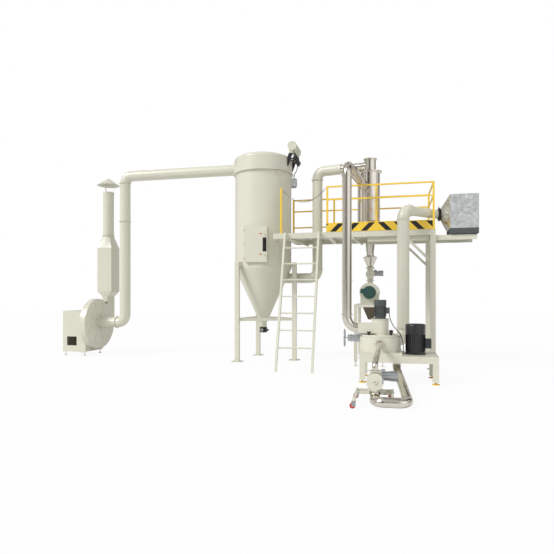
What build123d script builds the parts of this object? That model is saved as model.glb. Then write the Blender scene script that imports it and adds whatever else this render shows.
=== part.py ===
from build123d import *
import os
from math import atan2, cos, radians, sin, sqrt, tan

# Air classifying mill plant: mill, cyclone, sifter, bag collector and exhaust fan.
# Millimetres, Z up. The origin is on the floor, midway between the four feet of the mill.
# X runs to the right along the row of machines, Y runs away from the front.

os.makedirs("parts", exist_ok=True)

# Sheet, running and seating values
duct_wall = 3.0
running_gap = 0.05
seat_gap = 0.5
sweep_gap = 12.0
weld_gap = 0.2

# Mill stand
foot_pitch_x = 1240.0
foot_pitch_y = 760.0
leg_side = 100.0
pad_r = 65.0
pad_height = 14.0
pad_stud_r = 14.0
anchor_r = 9.0
leg_bottom = 44.0
beam_bottom = 360.0
beam_top = 470.0
bed_thickness = 60.0
bed_right = 60.0

# Grinding chamber and its cover
mill_x = -320.0
chamber_r = 365.0
chamber_wall = 12.0
chamber_height = 260.0
chamber_floor = 15.0
liner_seat = 6.0
cover_r = 345.0
cover_thickness = 35.0
cover_throat_r = 112.0
liner_thickness = 26.0
liner_height = 90.0
liner_teeth = 60
liner_tooth_depth = 7.0
knob_circle_r = 300.0
knob_r = 44.0
knob_height = 62.0

# Grinding rotor, hammers and its drive
shaft_r = 30.0
rotor_r = 285.0
rotor_thickness = 22.0
rotor_floor_gap = 14.0
hammer_count = 12
hammer_length = 62.0
hammer_width = 30.0
hammer_height = 62.0
hub_r = 70.0
pulley_thickness = 50.0
pulley_lift = 10.0
rotor_pulley_r = 62.0
motor_pulley_r = 84.0
belt_thickness = 8.0

# Classifier wheel and housing
wheel_r = 104.0
wheel_height = 110.0
wheel_plate = 8.0
wheel_blades = 24
blade_thickness = 4.0
wheel_shaft_r = 18.0
housing_r = 150.0
housing_wall = 6.0
housing_height = 275.0
housing_lid = 10.0
outlet_height = 184.0
outlet_left = -713.0
outlet_bottom = 850.0
outlet_y = -62.0

# Motors
main_motor_x = 300.0
main_motor_r = 165.0
main_motor_height = 540.0
main_motor_flange_r = 185.0
main_motor_fins = 32
sort_motor_r = 98.0
sort_motor_height = 345.0
sort_motor_fins = 24
cable_r = 7.0
cable_lift = 1.0
fin_depth = 10.0
fin_width = 4.0

# Product riser from the classifier to the cyclone
riser_r = 86.0
riser_x = -917.0
riser_bend = 200.0
riser_top = 3948.0
riser_rise = 112.0
riser_flange_r = 108.0
riser_post_r = 56.0
riser_post_run = 1790.0
flange_thickness = 10.0

# Feed screw at the back left of the chamber
feeder_y = 230.0
feeder_z = 732.0
feeder_r = 70.0
feeder_left = -750.0
gearbox_side = 120.0
feed_motor_r = 62.0
feed_motor_left = -925.0
handwheel_x = -985.0
handwheel_r = 160.0
handwheel_rim = 9.0
handwheel_hub_r = 24.0
hopper_mouth = 150.0
hopper_height = 190.0

# Platform
deck_top = 2920.0
deck_thickness = 30.0
frame_depth = 120.0
deck_front = 1530.0
deck_rear = 2950.0
deck_left = -2430.0
deck_right = 780.0
front_beam_left = -2690.0
post_side = 110.0
beam_width = 70.0
rail_height = 1000.0
mid_rail_height = 690.0
low_rail_height = 290.0
rail_side = 40.0
rail_bar = 30.0
toe_height = 195.0
toe_thickness = 6.0
gate_post_x = -2510.0
front_post_x = (-1480.0, -433.0, 740.0)
rear_post_x = (-2490.0, -1480.0, -433.0, 740.0)
knee_reach = 560.0
knee_side = 50.0
brace_front_x = (-2283.0, -924.0)
brace_rear_x = (-2120.0, -800.0)
brace_side = 40.0
cantilever_left = -620.0
cantilever_right = 1600.0
cantilever_front_y = 1600.0
cantilever_rear_y = 2220.0
cantilever_height = 100.0
cantilever_width = 60.0

# Ladder
ladder_left = -2420.0
ladder_width = 790.0
ladder_foot_y = 530.0
ladder_top_y = 1478.0
stile_depth = 60.0
stile_width = 45.0
rung_r = 15.0
rung_count = 7
rung_pitch = 350.0

# Chain across the ladder gate
link_pitch = 42.0
link_wire = 6.0
link_length = 56.0
link_width = 26.0
chain_sag = 260.0
chain_drop = 62.0
chain_pin = 34.0

# Cyclone on the platform
cyclone_x = -595.0
cyclone_y = 2450.0
barrel_r = 222.0
barrel_bottom = 3250.0
barrel_top = 4385.0
cone_knee_z = 2870.0
cone_knee_r = 116.0
cone_bottom_z = 2460.0
cone_bottom_r = 77.0
rim_r = 268.0
rim_thickness = 24.0
neck_r = 130.0
neck_top = 4680.0
blind_r = 160.0
branch_z = 4535.0
branch_r = 100.0
branch_length = 690.0
vortex_depth = 500.0
inlet_stub = 260.0
cyclone_wall = 3.0
cyclone_leg = 50.0

# Return duct from the cyclone to the collector
return_x = -1858.0
return_offset = 190.0
return_r = 120.0
return_bend = 190.0
return_low_z = 1966.0
return_flange_r = 145.0

# Product rotary valve and sifter under the cyclone
funnel_r = 160.0
funnel_bottom_z = 2180.0
valve_z = 2030.0
valve_r = 92.0
valve_length = 170.0
valve_bore = 78.0
valve_throat_r = 60.0
valve_flange_r = 104.0
valve_bottom_z = 1886.0
vane_count = 8
vane_thickness = 5.0
valve_shaft_r = 14.0
end_cap = 12.0
end_boss = 16.0
sifter_z = 1610.0
sifter_r = 216.0
sifter_front = 1960.0
sifter_rear = 2640.0
sifter_wall = 4.0
basket_r = 150.0
sifter_motor_r = 128.0
sifter_motor_length = 250.0
sifter_base_z = 1345.0
chute_depth = 350.0
chute_outlet = 60.0
stand_left = -880.0
stand_right = -300.0
stand_front = 1720.0
stand_post = 70.0

# Bag collector
collector_x = -3160.0
collector_y = 2500.0
shell_r = 680.0
shell_wall = 4.0
shell_bottom = 2190.0
shell_top = 4470.0
band_r = 705.0
band_top = 4790.0
ring_reach = 22.0
ring_r = band_r + ring_reach
crown_rise = 170.0
hopper_bottom_z = 895.0
hopper_bottom_r = 90.0
spigot_r = 84.0
spigot_bottom = 650.0
valve_body = 130.0
stem_r = 9.0
leg_circle_r = 790.0
foot_anchor_r = 880.0
collector_leg = 100.0
leg_top = 2330.0
foot_plate = 240.0
foot_plate_thickness = 12.0
tie_z = 980.0
tie_height = 70.0
tie_width = 40.0
leg_turns = (-6.0, 114.0, 234.0)
door_width = 540.0
door_bottom = 2310.0
door_height = 830.0
door_thickness = 30.0
door_stand = 24.0
door_frame_edge = 40.0
hinge_r = 12.0
door_hinge_z = (2370.0, 2695.0, 3020.0)
bag_r = 70.0
bag_length = 1750.0
bag_ring_r = 410.0
bag_count = 8
tube_sheet = 8.0

# Air header of the collector's cleaning pulses
header_r = 108.0
header_length = 620.0
header_x = -2390.0
header_z = 5060.0
pulse_valves = 4
timer_z = 4190.0
timer_turn = 12.0
timer_depth = 130.0
timer_width = 170.0
timer_height = 190.0

# Crossover duct, fan riser and fan
duct_r = 132.0
duct_bend = 200.0
crossover_z = 4640.0
fan_riser_x = -6870.0
riser_joint_z = 3470.0
fan_y = 2500.0
fan_z = 850.0
fan_face_x = -7620.0
fan_width = 150.0
scroll_r = 590.0
scroll_points = 16
tongue_angle = 50.0
silencer_mouth_z = 1520.0
outlet_half = 180.0
scroll_wall = 4.0
inlet_r = 132.0
fan_wheel_r = 430.0
fan_shaft_r = 28.0
fan_blades = 10
fan_rib_count = 8
plinth_left = -8420.0
plinth_wall = 5.0
plinth_depth = 800.0
plinth_bottom = 100.0
plinth_top = 1150.0
stack_y = 3060.0
stack_r = 142.0
stack_top = 4380.0
silencer_side = 420.0
silencer_bottom = 1660.0
silencer_top = 2850.0
stack_flange_z = 3180.0
cap_r = 295.0
cap_rim_z = 4570.0
cap_tip_z = 4770.0
cap_sheet = 6.0
strap_thickness = 6.0

# Intake filter and duct
intake_x = 113.0
intake_y = 1090.0
intake_r = 121.0
intake_z = 3270.0
intake_low_z = 662.0
intake_bend = 190.0
cross_r = 96.0
filter_left = 1065.0
filter_width = 565.0
filter_depth = 640.0
filter_bottom = 2930.0
filter_height = 706.0
filter_y = 1880.0
damper_x = 855.0
damper_length = 40.0
pleats = 9
filter_neck_r = 137.0
grille_depth = 110.0

# Reject valve on its trolley and the floor loop
trolley_x = -350.0
trolley_y = -2150.0
trolley_left = -617.0
trolley_right = -110.0
trolley_rear = -1800.0
left_rail_front = -2517.0
right_rail_front = -2240.0
trolley_z = 112.0
reject_valve_z = 322.0
reject_valve_r = 114.0
reject_top_z = 470.0
reject_pipe_r = 42.0
loop_r = 70.0
loop_z = 78.0
loop_right = 100.0
loop_front_y = -2400.0
loop_bends = [90.0, 130.0, 130.0, 110.0]
lift_x = -30.0
lift_y = -200.0
lift_z = 230.0
caster_wheel_r = 40.0
caster_width = 26.0
caster_trail = 22.0
axle_r = 6.0
trolley_bar = 36.0
reject_flange_r = 104.0
reject_throat_r = 58.0
reject_bore = 100.0
reject_bend = 70.0
port_stub = 18.0

leg_x = foot_pitch_x / 2
leg_y = foot_pitch_y / 2
bed_top = beam_top + bed_thickness
chamber_top = bed_top + chamber_height
cover_top = chamber_top + cover_thickness
housing_top = cover_top + housing_height
stand_half_x = leg_x + leg_side / 2
stand_half_y = leg_y + leg_side / 2
deck_under = deck_top - deck_thickness


def save(part, label):
    """Labels a finished piece and writes its file."""
    part.label = label
    export_step(part, f"parts/{label}.step")


def block(x0, x1, y0, y1, z0, z1, mode=Mode.ADD):
    """A box between two corners, added to the part that is open."""
    with BuildSketch(Plane.XY.offset(z0)) as base:
        with Locations(((x0 + x1) / 2, (y0 + y1) / 2)):
            Rectangle(abs(x1 - x0), abs(y1 - y0))
    extrude(base.sketch, amount=z1 - z0, mode=mode)


def drum(plane, outer, length, bore=0.0, mode=Mode.ADD):
    """A round bar or, with a bore, a ring, along the normal of its plane."""
    with BuildSketch(plane) as base:
        Circle(outer)
        if bore > 0:
            Circle(bore, mode=Mode.SUBTRACT)
    extrude(base.sketch, amount=length, mode=mode)


def bar(start, end, width, height, mode=Mode.ADD):
    """A straight rectangular bar between two points, its width lying level."""
    line = Vector(*end) - Vector(*start)
    side = Vector(0, 0, 1).cross(line)
    if side.length < 1e-6:
        side = Vector(1, 0, 0)
    with BuildSketch(Plane(origin=start, x_dir=side, z_dir=line)) as base:
        Rectangle(width, height)
    extrude(base.sketch, amount=line.length, mode=mode)


def duct(points, bends, outer, wall=duct_wall):
    """A thin round tube along straight runs joined by arcs."""
    with BuildLine() as route:
        if len(points) > 2:
            FilletPolyline(*points, radius=bends)
        else:
            Line(*points)
    with BuildSketch(Plane(origin=route.line @ 0, z_dir=route.line % 0)) as ring:
        Circle(outer)
        Circle(outer - wall, mode=Mode.SUBTRACT)
    sweep(ring.sketch, path=route.line)


def collar(centre, direction, inner, outer, thickness=flange_thickness):
    """A pair of bolted flanges round a duct, centred on a point of its axis."""
    axis = Vector(*direction).normalized()
    start = Vector(*centre) - axis * (thickness / 2)
    drum(Plane(origin=start, z_dir=axis), outer, thickness, inner)


def facing(direction, origin):
    """A plane whose normal is a direction and whose x axis lies level."""
    normal = Vector(*direction)
    level = Vector(0, 0, 1).cross(normal)
    return Plane(origin=origin, x_dir=level, z_dir=normal)


def fins(radius, number, z0, z1, centre):
    """Cooling fins round an upright motor body."""
    with BuildSketch(Plane.XY.offset(z0)) as comb:
        with Locations(centre):
            with PolarLocations(radius + fin_depth / 2 - 1, number):
                Rectangle(fin_depth + 2, fin_width)
    extrude(comb.sketch, amount=z1 - z0)


def turned(centre, profile, mode=Mode.ADD):
    """A solid turned about an upright axis from (radius, height) points."""
    with BuildSketch(Plane(origin=(centre[0], centre[1], 0), x_dir=(1, 0, 0), z_dir=(0, -1, 0))) as outline:
        with BuildLine() as edge:
            Polyline(*profile, close=True)
        make_face(edge.line)
    revolve(outline.sketch, axis=Axis((centre[0], centre[1], 0), (0, 0, 1)), mode=mode)


# Mill stand: welded legs and beams, the bed under the chamber and the motor's plate
plate_top = beam_top + 12.0
with BuildPart() as base_frame:
    half = leg_side / 2
    inner_x = leg_x - half
    inner_y = leg_y - half
    for sx in (-1, 1):
        for sy in (-1, 1):
            cx, cy = sx * leg_x, sy * leg_y
            block(cx - half, cx + half, cy - half, cy + half, leg_bottom, beam_top)
    for sy in (-1, 1):
        block(-inner_x, inner_x, *sorted((sy * inner_y, sy * stand_half_y)), beam_bottom, beam_top)
    for sx in (-1, 1):
        block(*sorted((sx * inner_x, sx * stand_half_x)), -inner_y, inner_y, beam_bottom, beam_top)
    block(-stand_half_x, bed_right, -stand_half_y, stand_half_y, beam_top, bed_top)
    block(bed_right, stand_half_x, -stand_half_y, stand_half_y, beam_top, plate_top)
    drum(Plane(origin=(mill_x, 0, beam_top)), shaft_r + running_gap, bed_thickness, mode=Mode.SUBTRACT)
    drum(Plane(origin=(main_motor_x, 0, beam_top)), shaft_r + 4, plate_top - beam_top, mode=Mode.SUBTRACT)
    drum(Plane(origin=(lift_x, lift_y, beam_top)), loop_r - duct_wall, bed_thickness, mode=Mode.SUBTRACT)
save(base_frame.part, "base_frame")

with BuildPart() as level_pads:
    for sx in (-1, 1):
        for sy in (-1, 1):
            spot = (sx * leg_x, sy * leg_y, 0)
            drum(Plane(origin=spot), pad_r, pad_height, anchor_r)
            drum(Plane(origin=(spot[0], spot[1], pad_height)), pad_stud_r, leg_bottom - pad_height, anchor_r)
save(level_pads.part, "level_pads")

# Grinding chamber: a shell with a floor, a reject port in front and an air port behind
reject_port_z = bed_top + 150.0
air_hole_r = min(intake_r - duct_wall, chamber_height / 2 - chamber_floor)
to_mill = Vector(mill_x - intake_x, -intake_y, 0).normalized()
with BuildPart() as chamber_shell:
    inner_r = chamber_r - chamber_wall
    drum(Plane(origin=(mill_x, 0, bed_top)), chamber_r, chamber_height)
    drum(Plane(origin=(mill_x, 0, bed_top + chamber_floor)), inner_r, chamber_height - chamber_floor,
         mode=Mode.SUBTRACT)
    drum(Plane(origin=(mill_x, 0, bed_top)), shaft_r + running_gap, chamber_floor, mode=Mode.SUBTRACT)
    drum(facing((0, -1, 0), (mill_x, -chamber_r + 8, reject_port_z)), reject_pipe_r + 8, 8 + port_stub)
    drum(facing((0, -1, 0), (mill_x, 0, reject_port_z)), reject_pipe_r - duct_wall, chamber_r + port_stub,
         mode=Mode.SUBTRACT)
    drum(facing(-to_mill, (mill_x, 0, intake_low_z)), air_hole_r, chamber_r + 1, mode=Mode.SUBTRACT)
    drum(Plane(origin=(mill_x, 0, bed_top + chamber_floor)), inner_r, liner_seat, inner_r - 14)
save(chamber_shell.part, "chamber_shell")

liner_outer = chamber_r - chamber_wall - seat_gap
liner_floor = bed_top + chamber_floor + liner_seat
tooth_step = 360.0 / liner_teeth
with BuildPart() as grinding_liner:
    with BuildSketch(Plane(origin=(mill_x, 0, liner_floor))):
        Circle(liner_outer)
        Circle(liner_outer - liner_thickness + liner_tooth_depth, mode=Mode.SUBTRACT)
        with PolarLocations(liner_outer - liner_thickness + liner_tooth_depth + 1, liner_teeth):
            Rectangle(2 * liner_tooth_depth, liner_outer * radians(tooth_step) / 2.2)
    extrude(amount=liner_height)
save(grinding_liner.part, "grinding_liner")

# Rotor: disc with swing-free hammers, hub, shaft and drive pulley on one axis
rotor_floor = bed_top + chamber_floor + rotor_floor_gap
pulley_z = beam_top - pulley_lift - pulley_thickness
with BuildPart() as mill_rotor:
    drum(Plane(origin=(mill_x, 0, pulley_z)), shaft_r, rotor_floor - pulley_z)
    drum(Plane(origin=(mill_x, 0, rotor_floor)), rotor_r, rotor_thickness)
    with BuildSketch(Plane(origin=(mill_x, 0, rotor_floor + rotor_thickness))):
        Circle(hub_r)
    extrude(amount=30, taper=20)
    drum(Plane(origin=(mill_x, 0, pulley_z)), rotor_pulley_r, pulley_thickness)
    with BuildSketch(Plane(origin=(mill_x, 0, rotor_floor + rotor_thickness))):
        with PolarLocations(rotor_r - hammer_length / 2, hammer_count):
            Rectangle(hammer_length, hammer_width)
    extrude(amount=hammer_height)
save(mill_rotor.part, "mill_rotor")

with BuildPart() as motor_pulley:
    drum(Plane(origin=(main_motor_x, 0, pulley_z)), motor_pulley_r, pulley_thickness)
    drum(Plane(origin=(main_motor_x, 0, pulley_z + pulley_thickness)), shaft_r - 4,
         plate_top - pulley_z - pulley_thickness - 1.0)
save(motor_pulley.part, "motor_pulley")

belt_gap = 0.5
small_r = rotor_pulley_r + belt_gap
large_r = motor_pulley_r + belt_gap
with BuildPart() as drive_belt:
    with BuildSketch(Plane.XY.offset(pulley_z + 6)):
        for grow, mode in ((belt_thickness, Mode.ADD), (0.0, Mode.SUBTRACT)):
            with BuildSketch(mode=mode):
                with Locations((mill_x, 0)):
                    Circle(small_r + grow)
                with Locations((main_motor_x, 0)):
                    Circle(large_r + grow)
                make_hull()
    extrude(amount=pulley_thickness - 12)
save(drive_belt.part, "drive_belt")

# Cover with its clamp knobs
with BuildPart() as chamber_cover:
    drum(Plane(origin=(mill_x, 0, chamber_top)), cover_r, cover_thickness, cover_throat_r)
    fillet(chamber_cover.edges().filter_by(GeomType.CIRCLE).group_by(Axis.Z)[-1].sort_by(
        SortBy.LENGTH)[-1], 10)
    for turn in (50, 130, 230, 310):
        kx = mill_x + knob_circle_r * cos(radians(turn))
        ky = knob_circle_r * sin(radians(turn))
        with BuildSketch(Plane(origin=(kx, ky, cover_top))):
            Circle(knob_r / 3)
        extrude(amount=knob_height, taper=-24)
save(chamber_cover.part, "chamber_cover")

# Classifier wheel: two rings and a cage of blades on a shaft from its motor
wheel_bottom = chamber_top - 20.0 - wheel_height
wheel_top = wheel_bottom + wheel_height
motor_seat = housing_top + housing_lid
with BuildPart() as classifier_wheel:
    drum(Plane(origin=(mill_x, 0, wheel_bottom)), wheel_r, wheel_plate)
    drum(Plane(origin=(mill_x, 0, wheel_top - wheel_plate)), wheel_r, wheel_plate, wheel_r - 30)
    with BuildSketch(Plane(origin=(mill_x, 0, wheel_bottom + wheel_plate))):
        with PolarLocations(wheel_r - 15, wheel_blades, start_angle=0):
            Rectangle(26, blade_thickness, rotation=25)
    extrude(amount=wheel_height - 2 * wheel_plate)
    drum(Plane(origin=(mill_x, 0, wheel_bottom + wheel_plate)), wheel_shaft_r,
         motor_seat - wheel_bottom - wheel_plate - 1.0)
save(classifier_wheel.part, "classifier_wheel")

# Classifier housing with a tangential outlet to the left
with BuildPart() as classifier_housing:
    drum(Plane(origin=(mill_x, 0, cover_top)), housing_r, housing_height)
    block(outlet_left, mill_x, outlet_y - riser_r, outlet_y + riser_r, outlet_bottom,
          outlet_bottom + outlet_height)
    drum(Plane(origin=(mill_x, 0, cover_top)), housing_r - housing_wall, housing_height, mode=Mode.SUBTRACT)
    block(outlet_left + housing_wall, mill_x, outlet_y - riser_r + housing_wall,
          outlet_y + riser_r - housing_wall,
          outlet_bottom + housing_wall, outlet_bottom + outlet_height - housing_wall, mode=Mode.SUBTRACT)
    riser_low_z = outlet_bottom + outlet_height / 2
    drum(facing((1, 0, 0), (outlet_left, outlet_y, riser_low_z)), riser_r - duct_wall, 40,
         mode=Mode.SUBTRACT)
    drum(Plane(origin=(mill_x, 0, housing_top)), housing_r + 12, housing_lid)
    drum(Plane(origin=(mill_x, 0, housing_top)), wheel_shaft_r + running_gap, housing_lid, mode=Mode.SUBTRACT)
save(classifier_housing.part, "classifier_housing")

# Upright motors: fins, fan cowl, foot flange and terminal box
with BuildPart() as classifier_motor:
    drum(Plane(origin=(mill_x, 0, motor_seat)), sort_motor_r + 14, 14)
    drum(Plane(origin=(mill_x, 0, motor_seat + 14)), sort_motor_r, sort_motor_height - 14)
    fins(sort_motor_r, sort_motor_fins, motor_seat + 40, motor_seat + 0.66 * sort_motor_height, (mill_x, 0))
    drum(Plane(origin=(mill_x, 0, motor_seat + 0.68 * sort_motor_height)), sort_motor_r + fin_depth + 3,
         0.32 * sort_motor_height)
    fillet(classifier_motor.edges().filter_by(GeomType.CIRCLE).group_by(Axis.Z)[-1], 20)
    block(mill_x + sort_motor_r, mill_x + sort_motor_r + 72, -50, 50, motor_seat + 95, motor_seat + 205)
save(classifier_motor.part, "classifier_motor")

with BuildPart() as main_motor:
    drum(Plane(origin=(main_motor_x, 0, plate_top)), main_motor_flange_r, 20)
    drum(Plane(origin=(main_motor_x, 0, plate_top + 20)), main_motor_r, main_motor_height - 20)
    fins(main_motor_r, main_motor_fins, plate_top + 50, plate_top + 0.66 * main_motor_height,
         (main_motor_x, 0))
    drum(Plane(origin=(main_motor_x, 0, plate_top + 0.68 * main_motor_height)),
         main_motor_r + fin_depth + 2, 0.32 * main_motor_height)
    fillet(main_motor.edges().filter_by(GeomType.CIRCLE).group_by(Axis.Z)[-1], 26)
    block(main_motor_x + main_motor_r, main_motor_x + main_motor_r + 105, -75, 75,
          plate_top + 110, plate_top + 280)
save(main_motor.part, "main_motor")

# Feed screw: tube into the chamber, hopper over it, gearbox and motor at its outer end
feed_end = mill_x - sqrt(chamber_r ** 2 - feeder_y ** 2)
with BuildPart() as feeder:
    level = facing((1, 0, 0), (feeder_left, feeder_y, feeder_z))
    drum(level, feeder_r, feed_end - feeder_left + 60)
    side = gearbox_side / 2
    block(feeder_left - side, feeder_left, feeder_y - side, feeder_y + side, feeder_z - side, feeder_z + side)
    drum(facing((1, 0, 0), (feed_motor_left, feeder_y, feeder_z)), feed_motor_r,
         feeder_left - side - feed_motor_left)
    drum(facing((1, 0, 0), (feed_motor_left + 60, feeder_y, feeder_z)), feed_motor_r + 12, 12)
    drum(facing((1, 0, 0), (feed_motor_left, feeder_y, feeder_z)), stem_r + running_gap, 40,
         mode=Mode.SUBTRACT)
    middle_x = (feeder_left + feed_end) / 2
    with BuildSketch(Plane.XY.offset(feeder_z)) as low:
        with Locations((middle_x, feeder_y)):
            Rectangle(feeder_r, feeder_r)
    with BuildSketch(Plane.XY.offset(feeder_z + hopper_height)) as high:
        with Locations((middle_x - 20, feeder_y + 20)):
            Rectangle(hopper_mouth, hopper_mouth)
    loft([low.sketch.face(), high.sketch.face()])
    drum(Plane(origin=(mill_x, 0, bed_top)), chamber_r, 2 * chamber_height, mode=Mode.SUBTRACT)
save(feeder.part, "feeder")

with BuildPart() as feeder_handwheel:
    rim_plane = Plane(origin=(handwheel_x, feeder_y, feeder_z), x_dir=(0, 0, 1), z_dir=(0, 1, 0))
    with BuildSketch(rim_plane) as rim:
        with Locations((handwheel_r, 0)):
            Circle(handwheel_rim)
    revolve(rim.sketch, axis=Axis((handwheel_x, feeder_y, feeder_z), (1, 0, 0)))
    drum(facing((1, 0, 0), (handwheel_x - 14, feeder_y, feeder_z)), handwheel_hub_r, 28)
    drum(facing((1, 0, 0), (handwheel_x, feeder_y, feeder_z)), stem_r, feed_motor_left - handwheel_x + 38)
    for turn in (0, 120, 240):
        spoke = Vector(0, cos(radians(turn)), sin(radians(turn)))
        drum(Plane(origin=Vector(handwheel_x, feeder_y, feeder_z) + spoke * (handwheel_hub_r - 6),
                   z_dir=spoke), 6, handwheel_r - handwheel_hub_r)
save(feeder_handwheel.part, "feeder_handwheel")

# Product riser: out of the classifier, straight up and back to the cyclone, held by a post on the deck
inlet_x = cyclone_x - barrel_r + riser_r + 8
riser_corner = Vector(riser_x, outlet_y, riser_top)
riser_line = Vector(inlet_x - riser_x, cyclone_y - outlet_y, riser_rise)
riser_run = riser_line.normalized()
riser_length = riser_line.length - inlet_stub
riser_end = riser_corner + riser_run * riser_length
post_at = riser_corner + riser_run * riser_post_run
with BuildPart() as product_riser:
    duct([(outlet_left, outlet_y, riser_low_z), (riser_x, outlet_y, riser_low_z), tuple(riser_corner),
          tuple(riser_end)], riser_bend, riser_r)
    for z in (riser_low_z + riser_bend + 40, 1800.0, riser_top - riser_bend - 10):
        collar((riser_x, outlet_y, z), (0, 0, 1), riser_r - 1, riser_flange_r)
    for along in (riser_bend + 400, riser_length - 5):
        collar(riser_corner + riser_run * along, riser_run, riser_r - 1, riser_flange_r)
    saddle = sqrt(riser_r ** 2 - riser_post_r ** 2)
    drum(Plane(origin=(post_at.X, post_at.Y, deck_top)), riser_post_r, post_at.Z - saddle - deck_top,
         riser_post_r - duct_wall)
    drum(facing(riser_run, post_at - riser_run * 200), riser_r - duct_wall, 400, mode=Mode.SUBTRACT)
save(product_riser.part, "product_riser")

# Platform: beams, joists, posts, knee braces, cantilevers and the bracket on the collector
beam_z = deck_top - frame_depth
joist_x = (deck_left, front_post_x[0], front_post_x[1], deck_right - beam_width)
post_x = deck_right - post_side / 2
post_half = post_side / 2
inner_front = deck_front + beam_width + weld_gap
inner_rear = deck_rear - beam_width - weld_gap
with BuildPart() as platform_frame:
    block(front_beam_left, deck_right, deck_front, deck_front + beam_width, beam_z, deck_top)
    block(deck_left, deck_right, deck_rear - beam_width, deck_rear, beam_z, deck_top)
    for x in joist_x:
        block(x, x + beam_width, inner_front, inner_rear, beam_z, deck_under)
    for y in (deck_front + post_half, deck_rear - post_half):
        block(post_x - post_half, post_x + post_half, y - post_half, y + post_half,
              foot_plate_thickness, beam_z - weld_gap)
        drum(Plane(origin=(post_x, y, 0)), foot_plate / 2, foot_plate_thickness)
        low = (post_x - post_half - weld_gap, y, beam_z - knee_reach)
        high = (low[0] - knee_reach, y, beam_z - weld_gap)
        with BuildSketch(Plane(origin=(0, y, 0), x_dir=(1, 0, 0), z_dir=(0, -1, 0))) as knee:
            with BuildLine() as knee_edge:
                Polyline((low[0], low[2]), (low[0], low[2] + 1.4 * knee_side),
                         (high[0] + 1.4 * knee_side, high[2]), (high[0], high[2]), close=True)
            make_face(knee_edge.line)
        extrude(knee.sketch, amount=knee_side / 2, both=True)
    for y in (cantilever_front_y, cantilever_rear_y):
        block(cantilever_left, cantilever_right, y, y + cantilever_width,
              beam_z - cantilever_height, beam_z - weld_gap)
    bracket_r = shell_r + weld_gap
    reach = sqrt(bracket_r ** 2 - (front_beam_left - collector_x) ** 2)
    block(front_beam_left, front_beam_left + beam_width, inner_front, collector_y - reach, beam_z, deck_under)
    for left, right in zip(brace_front_x, brace_rear_x):
        brace_z = beam_z - brace_side / 2 - weld_gap
        bar((left, deck_front + 10, brace_z), (right, deck_rear - 10, brace_z), brace_side, brace_side)
save(platform_frame.part, "platform_frame")

return_y = collector_y + return_offset
with BuildPart() as deck_plate:
    block(deck_left, deck_right, deck_front + beam_width, deck_rear - beam_width, deck_under, deck_top)
    drum(Plane(origin=(return_x, return_y, deck_under)), return_r + sweep_gap, deck_thickness,
         mode=Mode.SUBTRACT)
    drum(Plane(origin=(cyclone_x, cyclone_y, deck_under)), cone_knee_r + 2 * sweep_gap, deck_thickness,
         mode=Mode.SUBTRACT)
save(deck_plate.part, "deck_plate")

# Guard rails: square posts, a flat top rail and middle bars, with toe boards round the deck
rail_top = deck_top + rail_height
post_top = rail_top - rail_bar
front_line = deck_front + rail_side / 2
rear_line = deck_rear - rail_side / 2
side_line = front_post_x[-1]
rail_half = rail_side / 2
bar_half = rail_bar / 2


def rail_run(posts, y, levels):
    """Posts standing on a beam, a top rail over them and bars between them."""
    for x in posts:
        block(x - rail_half, x + rail_half, y - rail_half, y + rail_half, deck_top, post_top - weld_gap)
    block(posts[0] - rail_half, posts[-1] + rail_half, y - rail_half, y + rail_half, post_top, rail_top)
    for left, right in zip(posts[:-1], posts[1:]):
        for level in levels:
            z = deck_top + level
            block(left + rail_half + weld_gap, right - rail_half - weld_gap, y - bar_half, y + bar_half,
                  z, z + rail_bar)


with BuildPart() as guard_rails:
    rail_run(front_post_x, front_line, [mid_rail_height])
    rail_run(rear_post_x, rear_line, [mid_rail_height, low_rail_height])
    side_front = front_line + rail_half + weld_gap
    side_rear = rear_line - rail_half - weld_gap
    for level in (rail_height - rail_bar, mid_rail_height):
        block(side_line - bar_half, side_line + bar_half, side_front, side_rear,
              deck_top + level, deck_top + level + rail_bar)
    block(gate_post_x - rail_half, gate_post_x + rail_half, front_line - rail_half, front_line + rail_half,
          deck_top, rail_top)
    toe_front = deck_front - weld_gap
    block(front_post_x[0] - rail_half, front_post_x[-1] + rail_half, toe_front - toe_thickness, toe_front,
          deck_top, deck_top + toe_height)
    toe_side = side_line + rail_half + weld_gap
    block(toe_side, toe_side + toe_thickness, deck_front, deck_rear, deck_top, deck_top + toe_height)
save(guard_rails.part, "guard_rails")

# Ladder: two leaning flat stiles with round rungs between them
with BuildPart() as ladder:
    lean = (ladder_top_y - ladder_foot_y) / deck_top
    run = stile_depth / cos(atan2(ladder_top_y - ladder_foot_y, deck_top))
    for x in (ladder_left, ladder_left + ladder_width - stile_width):
        with BuildSketch(Plane(origin=(x, 0, 0), x_dir=(0, 1, 0), z_dir=(1, 0, 0))) as stile:
            with BuildLine() as side_edge:
                Polyline((ladder_foot_y - run, 0), (ladder_foot_y, 0), (ladder_top_y, deck_top - run),
                         (deck_front - weld_gap, deck_top - run), (deck_front - weld_gap, deck_top),
                         (ladder_top_y - run, deck_top), close=True)
            make_face(side_edge.line)
        extrude(stile.sketch, amount=stile_width)
    for step in range(1, rung_count + 1):
        z = deck_top - step * rung_pitch
        y = ladder_foot_y - run / 2 + z * lean
        left = facing((1, 0, 0), (ladder_left + stile_width + weld_gap, y, z))
        drum(left, rung_r, ladder_width - 2 * stile_width - 2 * weld_gap)
save(ladder.part, "ladder")

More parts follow.
